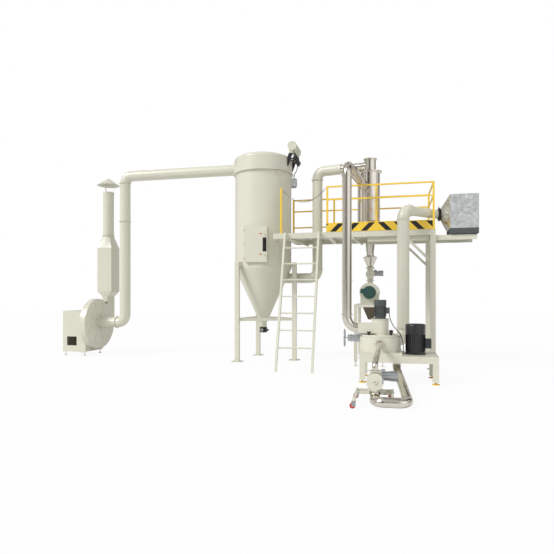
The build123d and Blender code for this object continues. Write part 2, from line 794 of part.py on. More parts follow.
# Chain across the gate: flat links hung in a sagging line between pins on two posts
with BuildPart() as ladder_chain:
    gate_left = gate_post_x + rail_half
    gate_right = front_post_x[0] - rail_half
    high = rail_top - chain_drop
    with BuildLine() as sagging:
        Spline((gate_left + chain_pin, front_line, high), ((gate_left + gate_right) / 2, front_line,
               high - chain_sag), (gate_right - chain_pin, front_line, high))
    hang = sagging.edges()[0]
    number = round(hang.length / link_pitch)
    for turn in range(number + 1):
        spot = hang @ (turn / number)
        along = hang % (turn / number)
        across = Vector(0, 1, 0) if turn % 2 else Vector(0, 1, 0).cross(along)
        with BuildSketch(Plane(origin=spot, x_dir=along, z_dir=across)) as link:
            SlotOverall(link_length, link_width)
            SlotOverall(link_length - 2 * link_wire, link_width - 2 * link_wire, mode=Mode.SUBTRACT)
        extrude(link.sketch, amount=link_wire / 2, both=True)
    reach = link_length / 2 - link_wire
    left_eye = hang @ 0 - (hang % 0) * reach
    right_eye = hang @ 1 + (hang % 1) * reach
    for wall_x, sign, eye in ((gate_left, 1, left_eye), (gate_right, -1, right_eye)):
        drum(facing((sign, 0, 0), (wall_x, front_line, eye.Z)), link_wire / 2, abs(eye.X - wall_x))
save(ladder_chain.part, "ladder_chain")

# Cyclone: turned barrel and cone with a tangential inlet, its funnel below and three feet on the deck
wall = cyclone_wall
cyclone_axis = (cyclone_x, cyclone_y)
with BuildPart() as cyclone_body:
    turned(cyclone_axis, [
        (barrel_r, barrel_top), (barrel_r, barrel_bottom), (cone_knee_r, cone_knee_z),
        (cone_bottom_r, cone_bottom_z + 14), (cone_bottom_r + 13, cone_bottom_z + 14),
        (cone_bottom_r + 13, cone_bottom_z - 14), (funnel_r, cone_bottom_z - 30),
        (funnel_r, cone_bottom_z - 42), (valve_throat_r, funnel_bottom_z + flange_thickness),
        (valve_flange_r, funnel_bottom_z + flange_thickness),
        (valve_flange_r, funnel_bottom_z), (valve_throat_r - wall, funnel_bottom_z),
        (valve_throat_r - wall, funnel_bottom_z + flange_thickness), (funnel_r - wall, cone_bottom_z - 42),
        (cone_bottom_r - wall, cone_bottom_z - 18), (cone_bottom_r - wall, cone_bottom_z),
        (cone_knee_r - wall, cone_knee_z), (barrel_r - wall, barrel_bottom), (barrel_r - wall, barrel_top)])
    drum(Plane(origin=(*cyclone_axis, barrel_top - rim_thickness / 2)), rim_r, rim_thickness / 2,
         barrel_r - wall)
    stub = facing(riser_run, riser_end)
    drum(stub, riser_r, inlet_stub)
    drum(Plane(origin=(*cyclone_axis, barrel_bottom)), barrel_r - wall, barrel_top - barrel_bottom,
         mode=Mode.SUBTRACT)
    drum(stub, riser_r - duct_wall, inlet_stub + 30, mode=Mode.SUBTRACT)
    for turn in (90, 210, 330):
        with BuildSketch(Plane.XY.offset(deck_top)) as feet:
            with Locations(cyclone_axis):
                with PolarLocations(barrel_r - cyclone_leg / 2, 1, start_angle=turn):
                    Rectangle(cyclone_leg, cyclone_leg)
        extrude(feet.sketch, amount=barrel_bottom + 90 - deck_top)
    drum(Plane(origin=(*cyclone_axis, barrel_bottom)), barrel_r - wall, 200, mode=Mode.SUBTRACT)
save(cyclone_body.part, "cyclone_body")

branch_dir = Vector(return_x - cyclone_x, return_y - cyclone_y, 0).normalized()
branch_end = Vector(cyclone_x, cyclone_y, branch_z) + branch_dir * branch_length
with BuildPart() as cyclone_outlet:
    drum(Plane(origin=(*cyclone_axis, barrel_top)), rim_r, rim_thickness / 2)
    drum(Plane(origin=(*cyclone_axis, barrel_top)), neck_r, neck_top - barrel_top)
    drum(facing(branch_dir, (cyclone_x, cyclone_y, branch_z)), branch_r, branch_length)
    drum(Plane(origin=(*cyclone_axis, barrel_top - vortex_depth)), neck_r, vortex_depth)
    drum(facing(branch_dir, (cyclone_x, cyclone_y, branch_z)), branch_r - wall, branch_length + 1,
         mode=Mode.SUBTRACT)
    drum(Plane(origin=(*cyclone_axis, barrel_top - vortex_depth)), neck_r - wall,
         neck_top - barrel_top + vortex_depth, mode=Mode.SUBTRACT)
    drum(Plane(origin=(*cyclone_axis, neck_top)), blind_r, 14)
    collar(branch_end - branch_dir * 5, branch_dir, branch_r - 1, branch_r + 22)
save(cyclone_outlet.part, "cyclone_outlet")

# Return duct: over the platform, down through the deck and into the collector's cone
hopper_slope = (shell_r - hopper_bottom_r) / (shell_bottom - hopper_bottom_z)
cone_at_duct = shell_r - (shell_bottom - return_low_z) * hopper_slope
entry_x = collector_x + sqrt(cone_at_duct ** 2 - return_offset ** 2)
with BuildPart() as return_duct:
    duct([tuple(branch_end), (return_x, return_y, branch_z), (return_x, return_y, return_low_z),
          (entry_x - 150, return_y, return_low_z)], return_bend, return_r)
    collar((return_x, return_y, branch_z - return_bend - 20), (0, 0, 1), return_r - 1, return_flange_r)
    collar((return_x, return_y, return_low_z + return_bend + 20), (0, 0, 1), return_r - 1, return_flange_r)
    turned((collector_x, collector_y), [(0, shell_bottom + 300), (shell_r, shell_bottom + 300),
           (shell_r, shell_bottom), (hopper_bottom_r, hopper_bottom_z), (0, hopper_bottom_z)],
           mode=Mode.SUBTRACT)
save(return_duct.part, "return_duct")


def rotary_valve(x, y, z, radius, top, bottom, flange, throat, bore):
    """A drop-through valve housing on a level axis along Y, bored for its rotor."""
    half = valve_length / 2
    drum(Plane(origin=(x, y + half, z), z_dir=(0, -1, 0)), radius, valve_length)
    drum(Plane(origin=(x, y, bottom)), throat + 8, top - bottom)
    drum(Plane(origin=(x, y, top - flange_thickness)), flange, flange_thickness)
    drum(Plane(origin=(x, y, bottom)), flange, flange_thickness)
    drum(Plane(origin=(x, y, bottom)), throat - wall, top - bottom, mode=Mode.SUBTRACT)
    drum(Plane(origin=(x, y + half, z), z_dir=(0, -1, 0)), bore, valve_length, mode=Mode.SUBTRACT)
    for sign in (-1, 1):
        end = y + sign * half
        cap = Plane(origin=(x, end, z), z_dir=(0, sign, 0))
        drum(cap, radius + 6, end_cap, valve_shaft_r + running_gap)
        boss = Plane(origin=(x, end + sign * end_cap, z), z_dir=(0, sign, 0))
        drum(boss, 32, end_boss, valve_shaft_r + running_gap)


def valve_rotor(x, y, z, bore):
    """A shaft with straight vanes that sweep the bore."""
    half = valve_length / 2 - 1.0
    reach = half + end_cap + end_boss + 1.0
    drum(Plane(origin=(x, y + reach, z), z_dir=(0, -1, 0)), valve_shaft_r, 2 * reach)
    vane = bore - seat_gap
    with BuildSketch(Plane(origin=(x, y + half, z), z_dir=(0, -1, 0))) as star:
        Circle(valve_shaft_r + 8)
        with PolarLocations((vane + valve_shaft_r) / 2, vane_count):
            Rectangle(vane - valve_shaft_r, vane_thickness)
    extrude(star.sketch, amount=2 * half)


def gear_motor(x, y, z, length, radius):
    """A worm gearbox on the back of a valve with its motor lying to the right."""
    block(x - 45, x + 45, y, y + 90, z - 50, z + 60)
    drum(Plane(origin=(x + 45, y + 45, z + 10), z_dir=(1, 0, 0)), radius * 0.9, length * 0.6)
    drum(Plane(origin=(x + 45 + length * 0.6, y + 45, z + 10), z_dir=(1, 0, 0)), radius, length * 0.4)
    block(x + 80, x + 140, y + 20, y + 70, z + 10 + radius * 0.8, z + 10 + radius + 22)


valve_back = cyclone_y + valve_length / 2 + end_cap + end_boss + 4.0
with BuildPart() as product_valve_body:
    rotary_valve(cyclone_x, cyclone_y, valve_z, valve_r, funnel_bottom_z, valve_bottom_z,
                 valve_flange_r, valve_throat_r, valve_bore)
    gear_motor(cyclone_x, valve_back, valve_z + 20, 250.0, 66.0)
    block(cyclone_x - 30, cyclone_x + 30, cyclone_y + 40, valve_back,
          valve_z + valve_r + 2, valve_z + valve_r + 14)
    block(cyclone_x - 30, cyclone_x + 30, valve_back, valve_back + 14, valve_z + 60, valve_z + valve_r + 14)
save(product_valve_body.part, "product_valve_body")
with BuildPart() as product_valve_rotor:
    valve_rotor(cyclone_x, cyclone_y, valve_z, valve_bore)
save(product_valve_rotor.part, "product_valve_rotor")
# Sifter: round housing over a hopper, a screen basket inside and a paddle rotor
sifter_length = sifter_rear - sifter_front
hopper_half = sifter_r - 20
with BuildPart() as sifter_housing:
    drum(Plane(origin=(cyclone_x, sifter_rear, sifter_z), z_dir=(0, -1, 0)), sifter_r, sifter_length)
    block(cyclone_x - hopper_half, cyclone_x + hopper_half, sifter_front, sifter_rear, sifter_base_z,
          sifter_z)
    drum(Plane(origin=(cyclone_x, cyclone_y, sifter_z + sifter_r - 40)), valve_throat_r + 4,
         valve_bottom_z - sifter_z - sifter_r + 40)
    drum(Plane(origin=(cyclone_x, sifter_rear - sifter_wall, sifter_z), z_dir=(0, -1, 0)),
         sifter_r - sifter_wall, sifter_length - 2 * sifter_wall, mode=Mode.SUBTRACT)
    inner = hopper_half - sifter_wall
    block(cyclone_x - inner, cyclone_x + inner, sifter_front + sifter_wall, sifter_rear - sifter_wall,
          sifter_base_z, sifter_z, mode=Mode.SUBTRACT)
    drum(Plane(origin=(cyclone_x, cyclone_y, sifter_z)), valve_throat_r, valve_bottom_z - sifter_z,
         mode=Mode.SUBTRACT)
    drum(Plane(origin=(cyclone_x, sifter_front, sifter_z), z_dir=(0, 1, 0)), valve_shaft_r + running_gap,
         sifter_wall, mode=Mode.SUBTRACT)
save(sifter_housing.part, "sifter_housing")

with BuildPart() as sifter_rotor:
    front_end = sifter_front + 1.0 - 4.0
    drum(Plane(origin=(cyclone_x, sifter_rear - 30, sifter_z), z_dir=(0, -1, 0)), valve_shaft_r,
         sifter_rear - 30 - front_end)
    for shift in (0, 1):
        y = sifter_front + 40 + shift * (sifter_length - 130)
        with BuildSketch(Plane(origin=(cyclone_x, y + 50, sifter_z), z_dir=(0, -1, 0))) as arms:
            Rectangle(2 * basket_r, 24)
            Rectangle(24, 2 * basket_r)
        extrude(arms.sketch, amount=14)
    for turn in range(4):
        px = cyclone_x + (basket_r - 6) * cos(radians(90 * turn))
        pz = sifter_z + (basket_r - 6) * sin(radians(90 * turn))
        block(px - 12, px + 12, sifter_front + 50, sifter_rear - 50, pz - 12, pz + 12)
save(sifter_rotor.part, "sifter_rotor")

with BuildPart() as sifter_motor:
    seat = sifter_front
    axis_origin = (cyclone_x, seat, sifter_z)
    drum(Plane(origin=axis_origin, z_dir=(0, -1, 0)), sifter_motor_r + 14, 16)
    drum(Plane(origin=(cyclone_x, seat - 16, sifter_z), z_dir=(0, -1, 0)), sifter_motor_r - 12,
         sifter_motor_length * 0.65)
    drum(Plane(origin=(cyclone_x, seat - 16 - sifter_motor_length * 0.65, sifter_z), z_dir=(0, -1, 0)),
         sifter_motor_r, sifter_motor_length * 0.35)
    block(cyclone_x - sifter_motor_r - 60, cyclone_x - sifter_motor_r + 40, seat - 130, seat - 40,
          sifter_z - 20, sifter_z + 80)
    drum(Plane(origin=axis_origin, z_dir=(0, -1, 0)), valve_shaft_r + 6, 12, mode=Mode.SUBTRACT)
save(sifter_motor.part, "sifter_motor")

stand_rear = 2 * cyclone_y - stand_front
with BuildPart() as sifter_stand:
    for x in (stand_left, stand_right):
        for y in (stand_front, stand_rear):
            half = stand_post / 2
            block(x - half, x + half, y - half, y + half, leg_bottom + 50, sifter_base_z)
            drum(Plane(origin=(x, y, 0)), 42, 12)
            drum(Plane(origin=(x, y, 12)), 10, leg_bottom + 38)
    shelf = sifter_base_z - 60
    for y in (stand_front, stand_rear):
        block(stand_left + half, stand_right - half, y - half, y + half, shelf, sifter_base_z)
    for x in (stand_left, stand_right):
        block(x - half, x + half, stand_front + half, stand_rear - half, shelf, sifter_base_z)
    for edge in (cyclone_x - hopper_half - 20, cyclone_x + hopper_half - 20):
        block(edge, edge + 40, stand_front + half, stand_rear - half, sifter_base_z - 40, sifter_base_z)
    chute_y0, chute_y1 = sifter_front + 10, sifter_rear - 10
    chute_half = hopper_half - 24
    middle_y = (chute_y0 + chute_y1) / 2
    for shrink, mode in ((0.0, Mode.ADD), (wall, Mode.SUBTRACT)):
        with BuildSketch(Plane.XY.offset(sifter_base_z)) as mouth:
            with Locations((cyclone_x, middle_y)):
                Rectangle(2 * (chute_half - shrink), chute_y1 - chute_y0 - 2 * shrink)
        with BuildSketch(Plane.XY.offset(sifter_base_z - chute_depth)) as spout:
            with Locations((cyclone_x + 20, middle_y)):
                Rectangle(2 * (chute_outlet - shrink), 2 * (chute_outlet - shrink))
        loft([mouth.sketch.face(), spout.sketch.face()], mode=mode)
save(sifter_stand.part, "sifter_stand")

# Bag collector: shell with a cone and spigot, a door neck, a domed head and three legs
door_y = collector_y - shell_r - door_stand
door_z0, door_z1 = door_bottom, door_bottom + door_height
sheet_z = shell_top - 60
bag_spots = [(collector_x, collector_y)]
for n in range(bag_count):
    a = radians(360 * n / bag_count)
    bag_spots.append((collector_x + bag_ring_r * cos(a), collector_y + bag_ring_r * sin(a)))
with BuildPart() as collector_shell:
    w = shell_wall
    turned((collector_x, collector_y), [
        (shell_r, shell_top), (shell_r, shell_bottom), (hopper_bottom_r, hopper_bottom_z),
        (spigot_r, hopper_bottom_z), (spigot_r, spigot_bottom + valve_body),
        (spigot_r - w, spigot_bottom + valve_body),
        (spigot_r - w, hopper_bottom_z + 12), (shell_r - w, shell_bottom), (shell_r - w, shell_top)])
    edge = door_frame_edge
    x0, x1 = collector_x - door_width / 2 + edge, collector_x + door_width / 2 - edge
    block(x0 - 30, x1 + 30, door_y, collector_y - shell_r * 0.8, door_z0 + edge - 30, door_z1 - edge + 30)
    drum(Plane(origin=(collector_x, collector_y, door_z0 - 60)), shell_r - w, door_height + 120,
         mode=Mode.SUBTRACT)
    block(x0, x1, door_y - 1, collector_y - shell_r * 0.8, door_z0 + edge, door_z1 - edge,
          mode=Mode.SUBTRACT)
    drum(Plane(origin=(collector_x, collector_y, shell_top - flange_thickness)), ring_r, flange_thickness,
         shell_r - w)
    drum(Plane(origin=(collector_x, collector_y, sheet_z)), shell_r - w / 2, tube_sheet)
    for spot in bag_spots:
        drum(Plane(origin=(*spot, sheet_z)), bag_r, tube_sheet, mode=Mode.SUBTRACT)
save(collector_shell.part, "collector_shell")

# The crown stops just short of the axis, so that its middle is a small flat disc
crown_turn = 88.0
with BuildPart() as collector_head:
    profile_plane = Plane(origin=(collector_x, collector_y, 0), x_dir=(1, 0, 0), z_dir=(0, -1, 0))
    with BuildSketch(profile_plane) as dome:
        with BuildLine() as edge_line:
            outer = EllipticalCenterArc((0, band_top), band_r, crown_rise, start_angle=0,
                                        arc_size=crown_turn)
            Polyline((band_r, band_top), (band_r, shell_top + flange_thickness),
                     (ring_r, shell_top + flange_thickness), (ring_r, shell_top),
                     (band_r - w, shell_top), (band_r - w, band_top))
            inner = EllipticalCenterArc((0, band_top), band_r - w, crown_rise - w, start_angle=0,
                                        arc_size=crown_turn)
            Polyline(outer @ 1, (0, (outer @ 1).Y), (0, (inner @ 1).Y), inner @ 1)
        make_face(edge_line.line)
    revolve(dome.sketch, axis=Axis((collector_x, collector_y, 0), (0, 0, 1)))
    drum(facing((-1, 0, 0), (collector_x - band_r + duct_r, collector_y, crossover_z)), duct_r,
         2 * duct_r, mode=Mode.SUBTRACT)
save(collector_head.part, "collector_head")

with BuildPart() as collector_legs:
    spots = []
    for turn in leg_turns:
        a = radians(turn)
        cx = collector_x + leg_circle_r * cos(a)
        cy = collector_y + leg_circle_r * sin(a)
        spots.append(Vector(cx, cy, 0))
        half = collector_leg / 2
        plate = foot_plate / 2
        block(cx - half, cx + half, cy - half, cy + half, foot_plate_thickness, leg_top)
        block(cx - plate, cx + plate, cy - plate, cy + plate, 0, foot_plate_thickness)
        anchor = (collector_x + foot_anchor_r * cos(a), collector_y + foot_anchor_r * sin(a), 0)
        drum(Plane(origin=anchor), anchor_r, foot_plate_thickness, mode=Mode.SUBTRACT)
        inner = (collector_x + (shell_r - 60) * cos(a), collector_y + (shell_r - 60) * sin(a), leg_top - 60)
        bar(inner, (cx, cy, leg_top - 60), collector_leg * 0.8, 110)
    for start, end in zip(spots, spots[1:] + spots[:1]):
        lift = Vector(0, 0, tie_z)
        bar(tuple(start + lift), tuple(end + lift), tie_width, tie_height)
    turned((collector_x, collector_y), [(0, leg_top), (shell_r, leg_top), (shell_r, shell_bottom),
           (hopper_bottom_r, hopper_bottom_z), (0, hopper_bottom_z)], mode=Mode.SUBTRACT)
save(collector_legs.part, "collector_legs")

hinge_x = collector_x - door_width / 2 - hinge_r
with BuildPart() as collector_door:
    x0, x1 = collector_x - door_width / 2, collector_x + door_width / 2
    front = door_y - door_thickness
    block(x0, x1, front, door_y - seat_gap, door_z0, door_z1)
    fillet(collector_door.edges().filter_by(Axis.Z), 4)
    for z in door_hinge_z:
        drum(Plane(origin=(hinge_x, front, z)), hinge_r, 60)
        block(hinge_x, x0 + 6, front - 4, front + 4, z, z + 60)
    hx = x1 - 70
    block(hx - 9, hx + 9, front - 46, front - 34, door_z0 + 280, door_z0 + 530)
    for z in (door_z0 + 290, door_z0 + 500):
        block(hx - 9, hx + 9, front - 34, front, z, z + 20)
    for z in (door_z0 + 180, door_z1 - 180):
        drum(facing((0, -1, 0), (hx, front, z)), 8, 26)
        drum(facing((0, -1, 0), (hx, front - 26, z)), 18, 24)
save(collector_door.part, "collector_door")

with BuildPart() as filter_bags:
    for spot in bag_spots:
        turned(spot, [
            (0, sheet_z - bag_length), (bag_r - seat_gap, sheet_z - bag_length),
            (bag_r - seat_gap, sheet_z + tube_sheet), (bag_r + 8, sheet_z + tube_sheet),
            (bag_r + 8, sheet_z + tube_sheet + 4), (bag_r - 4, sheet_z + tube_sheet + 4),
            (bag_r - 4, sheet_z - bag_length + 4), (0, sheet_z - bag_length + 4)])
save(filter_bags.part, "filter_bags")

# Cleaning-air header with its valves, bracket, blow pipes, timer box and cable
with BuildPart() as air_header:
    y0 = collector_y - header_length / 2
    drum(Plane(origin=(header_x, y0, header_z), z_dir=(0, 1, 0)), header_r, header_length)
    for n in range(pulse_valves):
        y = y0 + (n + 0.5) * header_length / pulse_valves
        drum(Plane(origin=(header_x + 60, y, header_z - header_r - 150)), 16, header_r + 60)
        drum(Plane(origin=(header_x + 60, y, header_z - header_r - 210)), 52, 70)
        drum(Plane(origin=(header_x + 60, y, header_z - header_r - 250)), 26, 40)
        pipe_z = header_z - header_r - 175
        reach = sqrt(band_r ** 2 - (y - collector_y) ** 2)
        left = collector_x + reach
        drum(Plane(origin=(left, y, pipe_z), z_dir=(1, 0, 0)), 17, header_x + 60 - left)
    for y in (y0 + 30, y0 + header_length - 50):
        reach = sqrt(band_r ** 2 - (y - collector_y) ** 2)
        bar((collector_x + reach - 20, y + 10, band_top - 190), (header_x + 10, y + 10, header_z - 40),
            14, 90)
    box_x = collector_x + shell_r * cos(radians(timer_turn))
    box_y = collector_y + shell_r * sin(radians(timer_turn))
    block(box_x - 20, box_x + timer_depth, box_y - timer_width / 2, box_y + timer_width / 2,
          timer_z, timer_z + timer_height)
    for n in range(3):
        drum(Plane(origin=(box_x + 20 + 40 * n, box_y, timer_z - 34)), 13, 34)
    clear = seat_gap / 2
    turned((collector_x, collector_y), [(0, timer_z - 60), (shell_r + clear, timer_z - 60),
           (shell_r + clear, shell_top - 20), (band_r + clear, shell_top),
           (band_r + clear, band_top + crown_rise), (0, band_top + crown_rise)], mode=Mode.SUBTRACT)
save(air_header.part, "air_header")

# Discharge valve under the cone: a body ring with its actuator, and the turning disc
valve_mid = spigot_bottom + valve_body / 2
with BuildPart() as discharge_valve:
    low = spigot_bottom
    drum(Plane(origin=(collector_x, collector_y, low)), spigot_r + 6, valve_body, spigot_r - 4)
    drum(facing((0, -1, 0), (collector_x, collector_y - spigot_r - 4, valve_mid)), 46, 40)
    drum(Plane(origin=(collector_x + 46, collector_y - spigot_r - 26, valve_mid), z_dir=(1, 0, 0)), 28, 110)
    drum(facing((0, -1, 0), (collector_x, collector_y, valve_mid)), stem_r + running_gap,
         spigot_r + 60, mode=Mode.SUBTRACT)
    drum(Plane(origin=(collector_x, collector_y, low)), spigot_r - 4, valve_body, mode=Mode.SUBTRACT)
save(discharge_valve.part, "discharge_valve")

with BuildPart() as discharge_disc:
    disc_r = spigot_r - 5
    drum(facing((0, -1, 0), (collector_x, collector_y + disc_r - 2, valve_mid)), stem_r,
         disc_r - 2 + spigot_r + 60)
    drum(facing((1, 0, 0), (collector_x - 3, collector_y, valve_mid)), disc_r, 6)
    drum(facing((0, -1, 0), (collector_x, collector_y - spigot_r - 58, valve_mid)), 40, 16)
save(discharge_disc.part, "discharge_disc")

# Crossover duct to the fan
band_edge = collector_x - band_r
with BuildPart() as crossover_duct:
    duct([(band_edge + 30, fan_y, crossover_z), (fan_riser_x, fan_y, crossover_z),
          (fan_riser_x, fan_y, fan_z), (fan_face_x, fan_y, fan_z)], duct_bend, duct_r)
    for z in (crossover_z - duct_bend + 20, riser_joint_z):
        collar((fan_riser_x, fan_y, z), (0, 0, 1), duct_r - 1, duct_r + 22)
    for x in (fan_riser_x - duct_bend - 30, fan_face_x + 150):
        collar((x, fan_y, fan_z), (1, 0, 0), duct_r - 1, duct_r + 24)
    drum(Plane(origin=(collector_x, collector_y, shell_top)), band_r, crown_rise + 400, mode=Mode.SUBTRACT)
save(crossover_duct.part, "crossover_duct")

# Fan: scroll casing with ribs, bladed wheel and the box that holds its motor
scroll_plane = Plane(origin=(fan_face_x, fan_y, fan_z), x_dir=(0, 1, 0), z_dir=(1, 0, 0))
outlet_inner = stack_y - fan_y - outlet_half
outlet_outer = stack_y - fan_y + outlet_half
mouth_z = silencer_mouth_z - fan_z


def spiral(angle, inset):
    """A point of the scroll's outline at an angle, its radius growing to the outlet."""
    share = (angle - tongue_angle) / (360 - tongue_angle)
    radius = scroll_r + (outlet_outer - scroll_r) * share - inset
    return radius * cos(radians(angle)), radius * sin(radians(angle))


def scroll_outline(inset):
    """The closed outline of the scroll: a growing spiral and a straight outlet."""
    step = (360 - tongue_angle) / scroll_points
    curve = [spiral(tongue_angle + n * step, inset) for n in range(scroll_points + 1)]
    with BuildLine() as outline:
        sweep_line = Spline(*curve)
        Polyline(sweep_line @ 1, (outlet_outer - inset, mouth_z), (outlet_inner + inset, mouth_z),
                 sweep_line @ 0)
    return outline.line


with BuildPart() as fan_scroll:
    with BuildSketch(scroll_plane) as casing:
        make_face(scroll_outline(0))
    extrude(casing.sketch, amount=-fan_width)
    inside = scroll_plane.offset(-scroll_wall)
    with BuildSketch(inside) as hollow:
        make_face(scroll_outline(scroll_wall))
    extrude(hollow.sketch, amount=-(fan_width - 2 * scroll_wall), mode=Mode.SUBTRACT)
    drum(scroll_plane, inlet_r, -2 * scroll_wall, mode=Mode.SUBTRACT)
    drum(scroll_plane.offset(-fan_width), fan_shaft_r + running_gap, 2 * scroll_wall, mode=Mode.SUBTRACT)
    with BuildSketch(scroll_plane) as ribs:
        for n in range(fan_rib_count):
            with BuildLine() as wedge:
                Polyline((duct_r + 40, -34), (scroll_r - 60, -9), (scroll_r - 60, 9), (duct_r + 40, 34),
                         close=True)
            with BuildSketch(mode=Mode.PRIVATE) as one:
                make_face(wedge.line)
            add(one.sketch.rotate(Axis.Z, (n + 0.5) * 360 / fan_rib_count))
    extrude(ribs.sketch, amount=12)
save(fan_scroll.part, "fan_scroll")

with BuildPart() as fan_wheel:
    back = scroll_plane.offset(-fan_width + scroll_wall + 14)
    drum(back, fan_wheel_r, 5)
    with BuildSketch(back.offset(5)) as blades:
        Circle(60)
        with PolarLocations(fan_wheel_r * 0.62, fan_blades):
            Rectangle(fan_wheel_r * 0.7, 6, rotation=18)
    extrude(blades.sketch, amount=80)
    drum(scroll_plane.offset(-fan_width - 120), fan_shaft_r, 120 + scroll_wall + 20)
save(fan_wheel.part, "fan_wheel")

with BuildPart() as fan_plinth:
    right = fan_face_x - fan_width
    y0, y1 = fan_y - plinth_depth / 2, fan_y + plinth_depth / 2
    block(plinth_left, right, y0, y1, plinth_bottom, plinth_top)
    t = plinth_wall
    block(plinth_left + t, right - t, y0 + t, y1 - t, plinth_bottom + t, plinth_top - t, mode=Mode.SUBTRACT)
    block(plinth_left + 120, plinth_left + 400, y0 - 1, y0 + t + 1, 260, 490, mode=Mode.SUBTRACT)
    drum(scroll_plane.offset(-fan_width - 20), fan_shaft_r + 12, 30, mode=Mode.SUBTRACT)
    for x in (plinth_left + 50, right - 50):
        for y in (y0 + 50, y1 - 50):
            drum(Plane(origin=(x, y, 0)), 40, 12)
            drum(Plane(origin=(x, y, 12)), 10, plinth_bottom - 12)
save(fan_plinth.part, "fan_plinth")

# Silencer and stack over the fan, with a conical rain cap on three straps
stack_x = fan_face_x - fan_width / 2
with BuildPart() as exhaust_stack:
    for inset, mode in ((0.0, Mode.ADD), (duct_wall, Mode.SUBTRACT)):
        with BuildSketch(Plane.XY.offset(silencer_mouth_z)) as mouth:
            with Locations((stack_x, stack_y)):
                Rectangle(fan_width - 2 * inset, 2 * (outlet_half - inset))
        with BuildSketch(Plane.XY.offset(silencer_bottom)) as low:
            with Locations((stack_x, stack_y)):
                Rectangle(silencer_side - 2 * inset, silencer_side - 2 * inset)
        with BuildSketch(Plane.XY.offset(silencer_top)) as high:
            with Locations((stack_x, stack_y)):
                Rectangle(silencer_side - 2 * inset, silencer_side - 2 * inset)
        with BuildSketch(Plane.XY.offset(stack_flange_z)) as neck:
            with Locations((stack_x, stack_y)):
                Circle(stack_r - inset)
        loft([mouth.sketch.face(), low.sketch.face()], mode=mode)
        extrude(low.sketch, amount=silencer_top - silencer_bottom, mode=mode)
        loft([high.sketch.face(), neck.sketch.face()], mode=mode)
        extrude(neck.sketch, amount=stack_top - stack_flange_z, mode=mode)
    collar((stack_x, stack_y, stack_flange_z + weld_gap), (0, 0, 1), stack_r - duct_wall, stack_r + 26)
save(exhaust_stack.part, "exhaust_stack")

with BuildPart() as rain_cap:
    turned((stack_x, stack_y), [(0, cap_tip_z), (cap_r, cap_rim_z),
           (cap_r, cap_rim_z - cap_sheet), (0, cap_tip_z - cap_sheet)])
    with BuildSketch(Plane.XY.offset(stack_top - 60)) as straps:
        with Locations((stack_x, stack_y)):
            with PolarLocations(stack_r + strap_thickness / 2 + weld_gap, 3, start_angle=30):
                Rectangle(strap_thickness, 4 * strap_thickness)
    extrude(straps.sketch, amount=cap_rim_z + 0.4 * (cap_tip_z - cap_rim_z) - stack_top + 60)
save(rain_cap.part, "rain_cap")

# Fresh-air intake: filter box, shut-off damper and the duct down to the mill
mill_port = Vector(mill_x, 0, intake_low_z) - to_mill * (chamber_r - 30)
to_filter = Vector(damper_x - intake_x, filter_y - intake_y, 0).normalized()
cross_start = Vector(intake_x, intake_y, intake_z) + to_filter * (intake_bend + 20)
cross_end = (damper_x, filter_y, intake_z)
with BuildPart() as intake_duct:
    duct([tuple(mill_port), (intake_x, intake_y, intake_low_z), (intake_x, intake_y, intake_z),
          tuple(cross_start)], intake_bend, intake_r)
    collar((intake_x, intake_y, intake_low_z + intake_bend + 30), (0, 0, 1), intake_r - 1, intake_r + 20)
    collar((intake_x, intake_y, intake_z - intake_bend - 10), (0, 0, 1), intake_r - 1, intake_r + 12)
    drum(facing(to_filter, cross_start), intake_r, 6, cross_r - duct_wall)
    duct([tuple(cross_start), cross_end], 0, cross_r)
    drum(Plane(origin=(mill_x, 0, bed_top)), chamber_r, 400, mode=Mode.SUBTRACT)
    block(damper_x, damper_x + 200, filter_y - 300, filter_y + 300, intake_z - 200, intake_z + 200,
          mode=Mode.SUBTRACT)
save(intake_duct.part, "intake_duct")

with BuildPart() as filter_housing:
    right = filter_left + filter_width
    y0, y1 = filter_y - filter_depth / 2, filter_y + filter_depth / 2
    z0, z1 = filter_bottom, filter_bottom + filter_height
    t = duct_wall
    neck_left = damper_x + damper_length
    for inset, mode in ((0.0, Mode.ADD), (t, Mode.SUBTRACT)):
        with BuildSketch(Plane(origin=(filter_left, filter_y, (z0 + z1) / 2), x_dir=(0, 1, 0),
                               z_dir=(1, 0, 0))) as wide:
            Rectangle(filter_depth - 2 * inset, filter_height - 2 * inset)
        with BuildSketch(Plane(origin=(neck_left, filter_y, intake_z), x_dir=(0, 1, 0),
                               z_dir=(1, 0, 0))) as narrow:
            Circle(cross_r + 12 - inset)
        loft([wide.sketch.face(), narrow.sketch.face()], mode=mode)
        extrude(wide.sketch, amount=filter_width - inset, mode=mode)
    block(filter_left + 30, right - 30, y0 + 30, y1 - 30, z0 - 1, z0 + t + 1, mode=Mode.SUBTRACT)
    grille_low = filter_bottom - grille_depth
    block(filter_left, right, y0, y1, grille_low, filter_bottom)
    block(filter_left + 24, right - 24, y0 + 24, y1 - 24, grille_low, filter_bottom, mode=Mode.SUBTRACT)
    pitch = (filter_width - 48) / pleats
    for n in range(pleats):
        x = filter_left + 24 + (n + 0.25) * pitch
        block(x, x + pitch / 2, y0 + 24, y1 - 24, grille_low + 12, filter_bottom - 12)
    drum(facing((1, 0, 0), (damper_x, filter_y, intake_z)), filter_neck_r, damper_length)
    drum(facing((1, 0, 0), (damper_x, filter_y, intake_z)), cross_r - duct_wall, damper_length + 40,
         mode=Mode.SUBTRACT)
    drum(Plane(origin=(damper_x + damper_length / 2, filter_y, intake_z - filter_neck_r + 12)),
         stem_r + running_gap, 2 * filter_neck_r, mode=Mode.SUBTRACT)
    for x in (filter_left + 90, right - 90):
        for y in (cantilever_front_y + 10, cantilever_rear_y + 10):
            block(x, x + 40, y, y + 40, beam_z, filter_bottom - grille_depth)
save(filter_housing.part, "filter_housing")

